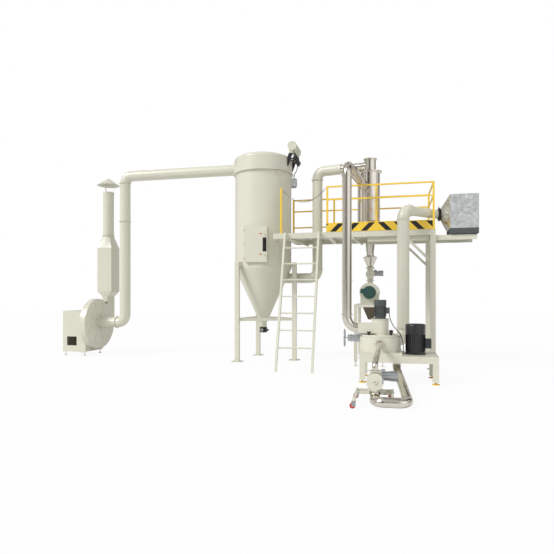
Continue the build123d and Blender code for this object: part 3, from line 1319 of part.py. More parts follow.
with BuildPart() as damper_blade:
    mid = damper_x + damper_length / 2
    blade_r = cross_r - duct_wall - 2
    drum(Plane(origin=(mid - 2, filter_y, intake_z), z_dir=(1, 0, 0)), blade_r, 4)
    drum(Plane(origin=(mid, filter_y, intake_z - blade_r + 4)), stem_r, blade_r - 4 + filter_neck_r + 30)
    block(mid - 8, mid + 8, filter_y - 12, filter_y + 110, intake_z + filter_neck_r + 22,
          intake_z + filter_neck_r + 30)
save(damper_blade.part, "damper_blade")

# Reject line: pipe from the chamber, rotary valve on a trolley, loop back under the mill
port_y = -chamber_r - port_stub
with BuildPart() as reject_pipe:
    duct([(mill_x, port_y, reject_port_z), (mill_x, port_y - 220, reject_port_z),
          (trolley_x, trolley_y, reject_top_z + 100), (trolley_x, trolley_y, reject_top_z)],
         [reject_bend, reject_bend], reject_pipe_r)
    collar((mill_x, port_y - 6, reject_port_z), (0, 1, 0), reject_pipe_r - 1, reject_pipe_r + 34, 12)
save(reject_pipe.part, "reject_pipe")

valve_low = trolley_z + 80
reject_back = trolley_y + valve_length / 2 + end_cap + end_boss + 4.0
with BuildPart() as reject_valve_body:
    rotary_valve(trolley_x, trolley_y, reject_valve_z, reject_valve_r, reject_top_z, valve_low,
                 reject_flange_r, reject_throat_r, reject_bore)
    gear_motor(trolley_x, reject_back, reject_valve_z + 40, 270.0, 74.0)
    block(trolley_x - 30, trolley_x + 30, trolley_y + 40, reject_back, reject_valve_z + reject_valve_r + 2,
          reject_valve_z + reject_valve_r + 14)
    block(trolley_x - 30, trolley_x + 30, reject_back, reject_back + 14, reject_valve_z + 60,
          reject_valve_z + reject_valve_r + 14)
save(reject_valve_body.part, "reject_valve_body")
with BuildPart() as reject_valve_rotor:
    valve_rotor(trolley_x, trolley_y, reject_valve_z, reject_bore)
save(reject_valve_rotor.part, "reject_valve_rotor")
with BuildPart() as floor_loop:
    duct([(trolley_x, trolley_y, valve_low), (trolley_x, trolley_y, loop_z),
          (trolley_x, loop_front_y, loop_z),
          (loop_right, loop_front_y, loop_z), (lift_x, lift_y, lift_z), (lift_x, lift_y, beam_top)],
         loop_bends, loop_r)
    collar((lift_x, lift_y, beam_top - 70), (0, 0, 1), loop_r - 1, loop_r + 20)
save(floor_loop.part, "floor_loop")

side = trolley_bar
with BuildPart() as trolley_frame:
    rail_z = trolley_z + side
    left_inner = trolley_left + side / 2
    right_inner = trolley_right - side / 2
    block(left_inner - side, left_inner, left_rail_front - 40, trolley_rear + 40, trolley_z, rail_z)
    block(right_inner, right_inner + side, right_rail_front - 40, trolley_rear + 40, trolley_z, rail_z)
    for rear in (trolley_rear, trolley_y + loop_r + 2 * side):
        block(left_inner + weld_gap, right_inner - weld_gap, rear - side, rear, trolley_z, rail_z)
    arm_rear = trolley_y + loop_r + 2 * side
    for sx in (-1, 1):
        edges = sorted((trolley_x + sx * (loop_r + 6), trolley_x + sx * (loop_r + 6 + side)))
        block(*edges, trolley_y - 50, arm_rear, rail_z + weld_gap, valve_low - weld_gap)
save(trolley_frame.part, "trolley_frame")

caster_spots = {
    "front_left": (trolley_left, left_rail_front),
    "front_right": (trolley_right, right_rail_front),
    "rear_left": (trolley_left, trolley_rear),
    "rear_right": (trolley_right, trolley_rear),
}
for name, (cx, cy) in caster_spots.items():
    wx = cx - caster_trail
    top = trolley_z
    with BuildPart() as caster_fork:
        block(cx - 26, cx + 26, cy - 24, cy + 24, top - 12, top - 2)
        drum(Plane(origin=(cx, cy, top - 2)), 14, 1.5)
        for sign in (-1, 1):
            inner = caster_width / 2 + 2
            y0, y1 = sorted((cy + sign * inner, cy + sign * (inner + 3)))
            block(wx - 14, cx + 20, y0, y1, caster_wheel_r - 12, top - 12)
        drum(Plane(origin=(wx, cy + inner + 3, caster_wheel_r), z_dir=(0, -1, 0)), axle_r, 2 * inner + 6)
    save(caster_fork.part, f"caster_fork_{name}")
    with BuildPart() as caster_wheel:
        drum(Plane(origin=(wx, cy + caster_width / 2, caster_wheel_r), z_dir=(0, -1, 0)), caster_wheel_r,
             caster_width, axle_r + running_gap)
        fillet(caster_wheel.edges().filter_by(GeomType.CIRCLE).sort_by(SortBy.LENGTH)[-2:], 6)
    save(caster_wheel.part, f"caster_wheel_{name}")


def cable(name, points, thickness):
    """A cable clipped along its way: straight runs with arcs as large as they allow."""
    radii = []
    for before, corner, after in zip(points[:-2], points[1:-1], points[2:]):
        first = Vector(*corner) - Vector(*before)
        second = Vector(*after) - Vector(*corner)
        turn = radians(first.get_angle(second))
        radii.append(0.45 * min(first.length, second.length) / tan(turn / 2))
    print(name, "radii", [round(r) for r in radii])
    with BuildPart() as cord:
        with BuildLine() as route:
            FilletPolyline(*points, radius=radii)
        with BuildSketch(Plane(origin=route.line @ 0, z_dir=route.line % 0)) as ring:
            Circle(thickness / 2)
        sweep(ring.sketch, path=route.line)
    save(cord.part, name)


plug_z = motor_seat + 95
cable("classifier_cable", [
    (-158, -20, plug_z), (-158, -20, plug_z - 45), (-134, -4, 1076), (-74, 52, 950), (30, 150, 850),
    (78, 190, 712), (98, 206, 600), (94, 204, 536), (90, 202, plate_top + cable_lift)],
    2 * cable_r)
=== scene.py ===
# %% [markdown]
# An air classifying mill plant, dressed for its picture. The mill grinds, a bladed wheel sorts,
# a cyclone and a bag collector catch the powder, and a fan at the far left pulls the air.
# The solids come in as a fixed frame, in metres. They could be modelled again here, but then
# looks and motion would part company, so this file paints them and adds only thin trim.

# %% Load the frame
from math import cos, radians, sin

import bpy
import numpy as np
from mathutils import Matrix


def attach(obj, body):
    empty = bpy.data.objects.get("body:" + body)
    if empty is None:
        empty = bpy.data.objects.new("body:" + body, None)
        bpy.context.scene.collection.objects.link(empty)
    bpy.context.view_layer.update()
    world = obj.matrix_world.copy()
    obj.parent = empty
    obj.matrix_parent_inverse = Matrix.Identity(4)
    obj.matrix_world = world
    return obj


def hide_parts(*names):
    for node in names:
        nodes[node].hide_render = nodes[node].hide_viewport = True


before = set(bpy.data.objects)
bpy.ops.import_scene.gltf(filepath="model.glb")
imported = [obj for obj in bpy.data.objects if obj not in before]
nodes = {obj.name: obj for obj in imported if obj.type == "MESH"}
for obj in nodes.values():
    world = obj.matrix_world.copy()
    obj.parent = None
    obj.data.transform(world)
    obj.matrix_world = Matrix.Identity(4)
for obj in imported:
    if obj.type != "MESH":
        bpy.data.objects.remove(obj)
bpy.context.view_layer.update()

# %% [markdown]
# Paint is chosen from a colour card, and a card is read in display values. The shader wants
# linear light, so each channel is raised to the display's power first. Typing linear numbers
# would also work, but nobody can picture a colour from them.

# %% Colours from the card
DISPLAY_POWER = 2.2


def card(red, green, blue):
    """Linear colour: each display value raised to the display's power, with full cover."""
    return (*(value ** DISPLAY_POWER for value in (red, green, blue)), 1.0)


CREAM = card(0.845, 0.838, 0.768)
YELLOW = card(0.96, 0.80, 0.26)
BLACK = card(0.13, 0.13, 0.135)
MOTOR_BLACK = card(0.12, 0.125, 0.14)
GREY = card(0.30, 0.32, 0.32)
GREEN = card(0.16, 0.30, 0.28)
RED = card(0.78, 0.20, 0.18)
RUBBER = card(0.16, 0.16, 0.16)
BROWN = card(0.36, 0.30, 0.24)
PALE_GREY = card(0.80, 0.82, 0.83)
# STEEL is tinted warm as painted reflection of warm surroundings, over the steel's own pale grey.
STEEL = card(0.93, 0.905, 0.865)
BARE_STEEL = card(0.70, 0.70, 0.71)
IRON = card(0.45, 0.45, 0.46)
ZINC = card(0.88, 0.89, 0.90)
CASTING = card(0.75, 0.77, 0.79)
CLOTH = card(0.93, 0.92, 0.88)
SLATE_BLUE = card(0.30, 0.37, 0.48)
print("cream in linear light", [round(v, 2) for v in CREAM[:3]])

# %% [markdown]
# Every finish here starts from the same few effects: a soft unevenness, a brushed grain with painted
# reflection in warm brown patches, the flower of galvanised sheet, and a box that says where a patch
# of other paint begins. Each is
# a node group, built once, so that one change reaches every material. Copying the nodes into
# each material would look the same and be far harder to keep in step.

# %% A helper that opens a node group
NUMBER, TINT, PLACE = "NodeSocketFloat", "NodeSocketColor", "NodeSocketVector"


def open_group(name, inputs, outputs):
    """A node group with the named sockets: its tree, its input node and its output node."""
    tree = bpy.data.node_groups.new(name, "ShaderNodeTree")
    for label, kind, value in inputs:
        tree.interface.new_socket(label, in_out="INPUT", socket_type=kind).default_value = value
    for label, kind in outputs:
        tree.interface.new_socket(label, in_out="OUTPUT", socket_type=kind)
    return tree, tree.nodes.new("NodeGroupInput"), tree.nodes.new("NodeGroupOutput")


def node(tree, kind, **sockets):
    """A node of that kind, each named socket set to its value or linked from its source."""
    made = tree.nodes.new(kind)
    for label, value in sockets.items():
        feed(tree, value, made.inputs[label.replace("_", " ")])
    return made


def feed(tree, value, socket):
    """Link a socket to a socket, or set a plain value on it."""
    if isinstance(value, bpy.types.NodeSocket):
        tree.links.new(value, socket)
    else:
        socket.default_value = value


def sum_of(tree, operation, first, second=0.0):
    """The answer of one sum on two numbers or sockets. Some sums need only the first."""
    made = tree.nodes.new("ShaderNodeMath")
    made.operation = operation
    feed(tree, first, made.inputs[0])
    feed(tree, second, made.inputs[1])
    return made.outputs[0]


def mixed(tree, mask, first, second, kind="FLOAT"):
    """First where the mask is nought and second where it is one."""
    made = tree.nodes.new("ShaderNodeMix")
    made.data_type = kind
    sockets = [s for s in made.inputs if s.enabled]
    feed(tree, mask, sockets[0])
    feed(tree, first, sockets[1])
    feed(tree, second, sockets[2])
    return next(s for s in made.outputs if s.enabled)


def stretched(tree, scale):
    """Object coordinates in metres, stretched by three factors."""
    where = tree.nodes.new("ShaderNodeTexCoord").outputs["Object"]
    made = node(tree, "ShaderNodeVectorMath", Vector=where)
    made.operation = "MULTIPLY"
    made.inputs[1].default_value = scale
    return made.outputs[0]


print("helpers ready")

# %% Uneven paint
CLOUD_STRETCH, CLOUD_SCALE = (1.0, 1.0, 0.35), 2.3
PEEL_SCALE, PEEL_WEAR, PEEL_STRENGTH, PEEL_HEIGHT = 55.0, 0.12, 0.05, 0.002
UNSTRETCHED = (1.0, 1.0, 1.0)
tree, start, end = open_group(
    "paint_unevenness",
    [("Colour", TINT, CREAM), ("Amount", NUMBER, 0.1), ("Gloss", NUMBER, 0.4)],
    [("Colour", TINT), ("Roughness", NUMBER), ("Normal", PLACE)],
)
cloudy = node(tree, "ShaderNodeTexNoise", Vector=stretched(tree, CLOUD_STRETCH),
              Scale=CLOUD_SCALE, Detail=5.0, Roughness=0.6)
orange_peel = node(tree, "ShaderNodeTexNoise", Vector=stretched(tree, UNSTRETCHED),
                   Scale=PEEL_SCALE, Detail=2.0)
shade = sum_of(tree, "MULTIPLY", cloudy.outputs["Fac"], start.outputs["Amount"])
value = sum_of(tree, "SUBTRACT", 1.0, shade)
tinted = node(tree, "ShaderNodeHueSaturation", Value=value, Color=start.outputs["Colour"])
tree.links.new(tinted.outputs["Color"], end.inputs["Colour"])
worn = sum_of(tree, "MULTIPLY", orange_peel.outputs["Fac"], PEEL_WEAR)
tree.links.new(sum_of(tree, "ADD", start.outputs["Gloss"], worn), end.inputs["Roughness"])
peel = node(tree, "ShaderNodeBump", Height=orange_peel.outputs["Fac"], Strength=PEEL_STRENGTH,
            Distance=PEEL_HEIGHT)
tree.links.new(peel.outputs["Normal"], end.inputs["Normal"])
PAINT = tree
print(PAINT.name, len(PAINT.nodes), "nodes")

# %% Brushed grain on steel, with painted reflection in warm brown patches
STROKE_STRETCH, STROKE_SCALE = (30.0, 30.0, 1.5), 3.0
REFLECTION_STRETCH, REFLECTION_SCALE = (3.0, 3.0, 0.8), 2.0
STROKE_WEAR, STROKE_STRENGTH, STROKE_HEIGHT = 0.14, 0.04, 0.001
tree, start, end = open_group(
    "brushed_grain_and_painted_reflection",
    [("Colour", TINT, STEEL), ("Gloss", NUMBER, 0.2), ("Painted_Reflection", NUMBER, 0.3)],
    [("Colour", TINT), ("Roughness", NUMBER), ("Normal", PLACE)],
)
strokes = node(tree, "ShaderNodeTexNoise", Vector=stretched(tree, STROKE_STRETCH),
               Scale=STROKE_SCALE, Detail=3.0)
patches = node(tree, "ShaderNodeTexNoise", Vector=stretched(tree, REFLECTION_STRETCH),
               Scale=REFLECTION_SCALE, Detail=2.0)
# Painted reflection: broad noise patches pull the steel's colour towards brown, standing in for warm
# surroundings mirrored in the metal.
painted_reflection_share = sum_of(tree, "MULTIPLY", patches.outputs["Fac"], start.outputs["Painted_Reflection"])
painted_reflection = mixed(tree, painted_reflection_share, start.outputs["Colour"], BROWN, "RGBA")
tree.links.new(painted_reflection, end.inputs["Colour"])
rub = sum_of(tree, "MULTIPLY", strokes.outputs["Fac"], STROKE_WEAR)
tree.links.new(sum_of(tree, "ADD", start.outputs["Gloss"], rub), end.inputs["Roughness"])
scored = node(tree, "ShaderNodeBump", Height=strokes.outputs["Fac"], Strength=STROKE_STRENGTH,
              Distance=STROKE_HEIGHT)
tree.links.new(scored.outputs["Normal"], end.inputs["Normal"])
GRAIN_AND_PAINTED_REFLECTION = tree
print(GRAIN_AND_PAINTED_REFLECTION.name, len(GRAIN_AND_PAINTED_REFLECTION.nodes), "nodes")

# %% The flower of galvanised sheet
BRIGHTEST, BRIGHT_RANGE = 1.12, 0.16
SMOOTHEST, ROUGH_RANGE = 0.28, 0.25
tree, start, end = open_group(
    "zinc_flower",
    [("Colour", TINT, ZINC), ("Size", NUMBER, 18.0)],
    [("Colour", TINT), ("Roughness", NUMBER)],
)
flower = node(tree, "ShaderNodeTexVoronoi", Vector=stretched(tree, UNSTRETCHED),
              Scale=start.outputs["Size"])
lightness = node(tree, "ShaderNodeSeparateColor", Color=flower.outputs["Color"])
depth = sum_of(tree, "MULTIPLY", lightness.outputs[0], BRIGHT_RANGE)
tinted = node(tree, "ShaderNodeHueSaturation", Value=sum_of(tree, "SUBTRACT", BRIGHTEST, depth),
              Color=start.outputs["Colour"])
tree.links.new(tinted.outputs["Color"], end.inputs["Colour"])
facet = sum_of(tree, "MULTIPLY", lightness.outputs[1], ROUGH_RANGE)
tree.links.new(sum_of(tree, "ADD", facet, SMOOTHEST), end.inputs["Roughness"])
FLOWER = tree
print(FLOWER.name, len(FLOWER.nodes), "nodes")

# %% A box that is one inside and nought outside
tree, start, end = open_group(
    "patch_box",
    [("Low", PLACE, (0.0, 0.0, 0.0)), ("High", PLACE, (1.0, 1.0, 1.0))],
    [("Mask", NUMBER)],
)
here = node(tree, "ShaderNodeSeparateXYZ",
            Vector=tree.nodes.new("ShaderNodeTexCoord").outputs["Object"])
lows = node(tree, "ShaderNodeSeparateXYZ", Vector=start.outputs["Low"])
highs = node(tree, "ShaderNodeSeparateXYZ", Vector=start.outputs["High"])
inside = 1.0
for place, low, high in zip(here.outputs, lows.outputs, highs.outputs):
    above = sum_of(tree, "GREATER_THAN", place, low)
    below = sum_of(tree, "LESS_THAN", place, high)
    inside = sum_of(tree, "MULTIPLY", inside, sum_of(tree, "MULTIPLY", above, below))
tree.links.new(inside, end.inputs["Mask"])
PATCH = tree
print(PATCH.name, len(PATCH.nodes), "nodes")

# %% [markdown]
# A gear motor is bolted to a cream valve and packed with it as one node, so a node can need
# two paints. The mesh could be cut in two, but it is part of the fixed frame. Instead the
# material asks where it is: inside a named box the colour, gloss and metal change over.

# %% The material maker
STEEL_LIKE, PAINT_LIKE = 1.0, 0.0
COAT_ROUGHNESS = 0.25


def finish_of(name, colour, gloss, metal=PAINT_LIKE, amount=0.10, coat=0.0, group=None,
              patches=()):
    """A finish: a group's colour, roughness and normal, changed over inside each patch box."""
    made = bpy.data.materials.new(name)
    made.use_nodes = True
    tree = made.node_tree
    shader = tree.nodes["Principled BSDF"]
    effect = tree.nodes.new("ShaderNodeGroup")
    effect.node_tree = group or (GRAIN_AND_PAINTED_REFLECTION if metal == STEEL_LIKE else PAINT)
    effect.inputs["Colour"].default_value = colour
    # On steel the amount also sets how far the painted reflection browns the base colour.
    for label, value in (("Gloss", gloss), ("Amount", amount), ("Painted_Reflection", amount)):
        if label in effect.inputs:
            effect.inputs[label].default_value = value
    tint, rough, metal_now = effect.outputs["Colour"], effect.outputs["Roughness"], metal
    for low, high, patch_colour, patch_gloss, patch_metal in patches:
        box = tree.nodes.new("ShaderNodeGroup")
        box.node_tree = PATCH
        box.inputs["Low"].default_value = low
        box.inputs["High"].default_value = high
        mask = box.outputs["Mask"]
        tint = mixed(tree, mask, tint, patch_colour, "RGBA")
        rough = mixed(tree, mask, rough, patch_gloss)
        metal_now = mixed(tree, mask, metal_now, patch_metal)
    feed(tree, tint, shader.inputs["Base Color"])
    feed(tree, rough, shader.inputs["Roughness"])
    feed(tree, metal_now, shader.inputs["Metallic"])
    if "Normal" in effect.outputs:
        feed(tree, effect.outputs["Normal"], shader.inputs["Normal"])
    shader.inputs["Coat Weight"].default_value = coat
    shader.inputs["Coat Roughness"].default_value = COAT_ROUGHNESS
    return made


def paint_nodes(material, *names):
    """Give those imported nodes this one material."""
    for name in names:
        nodes[name].data.materials.clear()
        nodes[name].data.materials.append(material)
    print(material.name, "on", len(names), "nodes")


# %% [markdown]
# Most of the plant wears one coat of cream enamel, rolled on at the maker's works: smooth,
# half glossy, a little uneven from sheet to sheet.

# %% Cream enamel
CREAM_GLOSS, CREAM_COAT, CREAM_SHADE = 0.28, 0.35, 0.07


def creamed(name, *patches):
    """Cream enamel under its own name, changed over inside each patch box."""
    return finish_of(name, CREAM, CREAM_GLOSS, amount=CREAM_SHADE, coat=CREAM_COAT, patches=patches)


cream = creamed("cream_enamel")
paint_nodes(cream, "base_frame", "chamber_shell", "classifier_housing", "platform_frame",
            "deck_plate", "ladder", "sifter_housing", "collector_shell", "collector_head",
            "collector_legs", "return_duct", "crossover_duct", "fan_scroll", "fan_plinth",
            "exhaust_stack", "rain_cap", "trolley_frame", "intake_duct")

# %% [markdown]
# Some cream nodes carry a part of another colour: knobs, a gear motor, a door handle. Each box
# below is in metres in the plant's frame, and what the node has inside it takes that paint. A
# box turns with its node, because it is read in the node's own coordinates.

# %% Cream nodes that carry a part of another colour
BLACK_PAINT = (BLACK, 0.4, PAINT_LIKE)
RED_PAINT = (RED, 0.4, PAINT_LIKE)
BROWN_PAINT = (BROWN, 0.5, PAINT_LIKE)
BOX_GREY = (PALE_GREY, 0.4, PAINT_LIKE)
VALVE_BLACK = (BLACK, 0.45, PAINT_LIKE)
MOTOR_METAL = (CASTING, 0.32, STEEL_LIKE)
COVER_KNOBS = ((-1.0, -1.0, 0.825), (1.0, 1.0, 0.90))
PRODUCT_MOTOR = ((-0.500, 2.0, 1.5), (0.0, 3.2, 2.4))
REJECT_MOTOR = ((-0.255, -2.3, 0.30), (0.3, -1.5, 0.50))
DOOR_HANDLE = ((-2.99, 1.0, 2.55), (-2.90, 2.2, 2.87))
LOWER_CLAMP = ((-3.07, 1.0, 2.478), (-3.01, 2.2, 2.502))
UPPER_CLAMP = ((-3.07, 1.0, 2.948), (-3.01, 2.2, 2.972))
SIFTER_CHUTE = ((-0.79, 1.95, 0.98), (-0.40, 2.65, 1.344))
PULSE_VALVES = ((-2.60, 1.8, 4.60), (-2.0, 3.2, 4.90))
TIMER_BOX = ((-2.54, 2.5, 4.189), (-2.33, 2.8, 4.385))
TIMER_GLANDS = ((-2.54, 2.5, 4.10), (-2.33, 2.8, 4.189))
paint_nodes(creamed("cover_enamel", (*COVER_KNOBS, *BLACK_PAINT)), "chamber_cover")
paint_nodes(creamed("product_valve_enamel", (*PRODUCT_MOTOR, *MOTOR_METAL)), "product_valve_body")
paint_nodes(creamed("reject_valve_enamel", (*REJECT_MOTOR, *MOTOR_METAL)), "reject_valve_body")
paint_nodes(creamed("door_enamel", (*DOOR_HANDLE, *BLACK_PAINT), (*LOWER_CLAMP, *RED_PAINT),
                    (*UPPER_CLAMP, *RED_PAINT)), "collector_door")
paint_nodes(creamed("sifter_stand_enamel", (*SIFTER_CHUTE, *BROWN_PAINT)), "sifter_stand")
paint_nodes(creamed("air_header_enamel", (*PULSE_VALVES, *VALVE_BLACK), (*TIMER_BOX, *BOX_GREY),
                    (*TIMER_GLANDS, *VALVE_BLACK)), "air_header")

# %% [markdown]
# The riser, the cyclone and the pipe loop are polished stainless tube. Steel has no colour of
# its own to speak of: it shows the workshop, in long warm bands. A dark grey paint would copy
# one photograph and look wrong from any other side, so the metal is left to reflect. Its base
# colour still carries painted reflection: a warm tint, and brown patches from the grain group.

# %% Steel
polished = finish_of("polished_stainless", STEEL, 0.13, STEEL_LIKE, amount=0.22)
turned_steel = finish_of("turned_steel", BARE_STEEL, 0.26, STEEL_LIKE, amount=0.1)
castings = finish_of("silver_castings", CASTING, 0.34, STEEL_LIKE, amount=0.05)
iron = finish_of("liner_iron", IRON, 0.45, STEEL_LIKE, amount=0.1)
paint_nodes(polished, "product_riser", "cyclone_body", "cyclone_outlet", "reject_pipe", "floor_loop")
paint_nodes(turned_steel, "mill_rotor", "motor_pulley", "classifier_wheel", "product_valve_rotor",
            "sifter_rotor", "discharge_disc", "damper_blade", "reject_valve_rotor", "ladder_chain")
paint_nodes(castings, "feeder", "feeder_handwheel")
paint_nodes(iron, "grinding_liner")

# %% [markdown]
# The filter box is bare galvanised sheet, whose zinc has set in flat crystals of uneven
# brightness. Random cells copy that at any size, where a picture of sheet would repeat.

# %% Galvanised sheet, with its dark grille and black damper ring
DAMPER_RING = ((0.850, 0.0, 2.5), (0.900, 2.5, 4.0))
GRILLE = ((0.9, 0.0, 2.70), (2.5, 2.5, 2.932))
zinc = finish_of("galvanised_sheet", ZINC, 0.4, STEEL_LIKE, group=FLOWER, patches=[
    (*DAMPER_RING, BLACK, 0.5, PAINT_LIKE), (*GRILLE, GREY, 0.6, PAINT_LIKE)])
paint_nodes(zinc, "filter_housing")

# %% [markdown]
# What is left has one finish each. Mostly the gloss tells them apart: motor enamel shines under
# its clear coat, while rubber and felt hardly do.

# %% Motors, fan wheel, belt, bags and the small wheels
paint_nodes(finish_of("motor_grey", GREY, 0.36, coat=0.2), "classifier_motor")
paint_nodes(finish_of("motor_black", MOTOR_BLACK, 0.24, coat=0.5), "main_motor")
paint_nodes(finish_of("motor_green", GREEN, 0.36, coat=0.2), "sifter_motor")
paint_nodes(finish_of("fan_wheel_enamel", CREAM, 0.4), "fan_wheel")
paint_nodes(finish_of("belt_rubber", RUBBER, 0.7), "drive_belt")
paint_nodes(finish_of("bag_felt", CLOTH, 0.9, amount=0.2), "filter_bags")
paint_nodes(finish_of("pad_yellow", YELLOW, 0.4, coat=0.2), "level_pads")
LEVER_SIDE = ((-3.05, 1.5, 0.55), (-2.5, 3.0, 0.85))
paint_nodes(finish_of("discharge_black", BLACK, 0.4, patches=[
    (*LEVER_SIDE, SLATE_BLUE, 0.4, PAINT_LIKE)]), "discharge_valve")
forks = [name for name in nodes if name.startswith("caster_fork")]
wheels = [name for name in nodes if name.startswith("caster_wheel")]
paint_nodes(turned_steel, *forks)
paint_nodes(finish_of("red_tread", RED, 0.45), *wheels)

# %% [markdown]
# The rails are yellow, and their toe boards carry black slanted bars that lean away from the
# middle post. The bars could be thin plates laid on, but paint has no thickness worth
# modelling. A saw wave of the place along the rails plus the height, cut at one level, gives
# bars of one width, and places are measured from the middle post by X plus Y.

# %% Rails and their barred toe boards
BAR_PITCH = 0.33
BAR_START = 0.60
TOE_LOW, TOE_HIGH = 2.925, 3.10
MIDDLE_POST_X, RAIL_Y = -0.433, 1.527
FRONT_BOARD = ((-1.499, 1.50, TOE_LOW), (0.72, 1.529, TOE_HIGH))
END_BOARD = ((0.762, 1.56, TOE_LOW), (0.772, 2.93, TOE_HIGH))
rails = finish_of("rail_yellow", YELLOW, 0.36, amount=0.06, coat=0.2)
tree = rails.node_tree
shader = tree.nodes["Principled BSDF"]
base = shader.inputs["Base Color"].links[0].from_socket
where = node(tree, "ShaderNodeSeparateXYZ",
             Vector=tree.nodes.new("ShaderNodeTexCoord").outputs["Object"])
along = sum_of(tree, "ADD", where.outputs["X"], where.outputs["Y"])
from_post = sum_of(tree, "ABSOLUTE", sum_of(tree, "SUBTRACT", along, MIDDLE_POST_X + RAIL_Y))
slanted = sum_of(tree, "ADD", from_post, sum_of(tree, "SUBTRACT", where.outputs["Z"], TOE_LOW))
phase = sum_of(tree, "FRACT", sum_of(tree, "DIVIDE", slanted, BAR_PITCH))
bars = sum_of(tree, "GREATER_THAN", phase, BAR_START)
for low, high in (FRONT_BOARD, END_BOARD):
    box = tree.nodes.new("ShaderNodeGroup")
    box.node_tree = PATCH
    box.inputs["Low"].default_value = low
    box.inputs["High"].default_value = high
    mask = sum_of(tree, "MULTIPLY", box.outputs["Mask"], bars)
    base = mixed(tree, mask, base, BLACK, "RGBA")
feed(tree, base, shader.inputs["Base Color"])
paint_nodes(rails, "guard_rails")

# %% [markdown]
# One black cable runs from the classifier's motor down to the drive, and a short one from the
# air valves to their timer. Both hang by their own weight. A bezier would need handles at every
# point, while a spline drawn towards a few points bends evenly, so each is a NURBS curve.

# %% Both cables
SHEATH = finish_of("cable_sheath", RUBBER, 0.45)


def hung_cable(name, route, diameter):
    """A round cable whose centre line is a NURBS curve drawn towards the points of its route."""
    curve = bpy.data.curves.new(name, "CURVE")
    curve.dimensions = "3D"
    curve.bevel_depth = diameter / 2
    curve.bevel_resolution = 6
    curve.resolution_u = 16
    curve.use_fill_caps = True
    spline = curve.splines.new("NURBS")
    spline.points.add(len(route) - 1)
    spline.points.foreach_set("co", np.hstack([route, np.ones((len(route), 1))]).ravel())
    spline.order_u = 3
    spline.use_endpoint_u = True
    made = bpy.data.objects.new(name, curve)
    bpy.context.scene.collection.objects.link(made)
    made.data.materials.append(SHEATH)
    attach(made, "plant")
    return made


motor_route = np.array([(-0.158, -0.020, 1.205), (-0.158, -0.020, 1.160), (-0.134, -0.004, 1.076),
                        (-0.074, 0.052, 0.950), (0.030, 0.150, 0.850), (0.078, 0.190, 0.712),
                        (0.098, 0.206, 0.600), (0.094, 0.204, 0.536), (0.090, 0.202, 0.483)])
motor_cable = hung_cable("classifier_motor_cable", motor_route, 0.014)
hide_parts("classifier_cable")
valve_route = np.array([(-2.330, 2.578, 4.703), (-2.330, 2.578, 4.640), (-2.352, 2.590, 4.560),
                        (-2.405, 2.620, 4.500), (-2.428, 2.640, 4.440), (-2.430, 2.641, 4.379)])
hung_cable("pulse_valve_cable", valve_route, 0.018)

# %% [markdown]
# Two small wedges stand under the collector's band, for lifting it. Each is a bracket that
# narrows to a point, too plain for a modifier: five corners follow from its turn round the shell.

# %% A mesh on the plant
def mesh_of(name, corners, faces, material):
    """An object of those corners and faces, riding on the plant, with its edges left sharp."""
    mesh = bpy.data.meshes.new(name)
    mesh.from_pydata(corners.tolist(), [], faces)
    mesh.materials.append(material)
    mesh.update()
    made = bpy.data.objects.new(name, mesh)
    bpy.context.scene.collection.objects.link(made)
    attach(made, "plant")
    print(name, len(mesh.vertices), "vertices")


# %% Lifting lugs under the collector's band
LUG_TURNS = (-45.0, 135.0)
SHELL_CENTRE, SHELL_R = (-3.16, 2.50), 0.680
LUG_TOP, LUG_HEIGHT, LUG_REACH, LUG_WIDTH, LUG_SINK = 4.440, 0.165, 0.055, 0.120, 0.004
LUG_FACES = [(3, 2, 1, 0), (4, 2, 3), (4, 1, 2), (4, 0, 1), (4, 3, 0)]


def lug(turn):
    """Five corners of a wedge that sinks a little into the shell.

    The two at the back lie on the shell: its centre, plus its radius less the sink along the
    turn, plus or minus half the width across. The two in front add the reach. The last one
    lies below the middle of the back, lower by the height.
    """
    out = np.array([cos(radians(turn)), sin(radians(turn)), 0.0])
    across = np.array([-out[1], out[0], 0.0]) * LUG_WIDTH / 2
    back = np.array([*SHELL_CENTRE, LUG_TOP]) + out * (SHELL_R - LUG_SINK)
    front = back + out * (LUG_REACH + LUG_SINK)
    return np.array([back - across, back + across, front + across, front - across,
                     back - (0.0, 0.0, LUG_HEIGHT)])


wedges = [lug(turn) for turn in LUG_TURNS]
lug_faces = [tuple(corner + k * len(wedge) for corner in face)
             for k, wedge in enumerate(wedges) for face in LUG_FACES]
mesh_of("lifting_lugs", np.vstack(wedges), lug_faces, cream)

# %% [markdown]
# The picture was taken by someone standing in front of the mill and looking a little to the
# left, with the camera held level. So the camera stands at eye height, is turned but never
# tipped, and a small shift lowers the horizon. Tipping it would make the tall tanks lean.

# %% Camera
PICTURE, FOCAL_PIXELS, SENSOR = 554, 500.0, 36.0
HORIZON_BELOW_MIDDLE = 20.3
EYE, LEVEL, TURNED_LEFT, FARTHEST = (-0.14, -9.32, 1.5), 90.0, 12.77, 200.0
camera_data = bpy.data.cameras.new("camera")
camera_data.sensor_width = SENSOR
camera_data.lens = FOCAL_PIXELS / PICTURE * SENSOR
camera_data.shift_y = HORIZON_BELOW_MIDDLE / PICTURE
camera_data.clip_end = FARTHEST
camera = bpy.data.objects.new("camera", camera_data)
camera.location = EYE
camera.rotation_euler = (radians(LEVEL), 0.0, radians(TURNED_LEFT))
bpy.context.scene.collection.objects.link(camera)
bpy.context.scene.camera = camera
print("lens", round(camera_data.lens, 1), "mm")
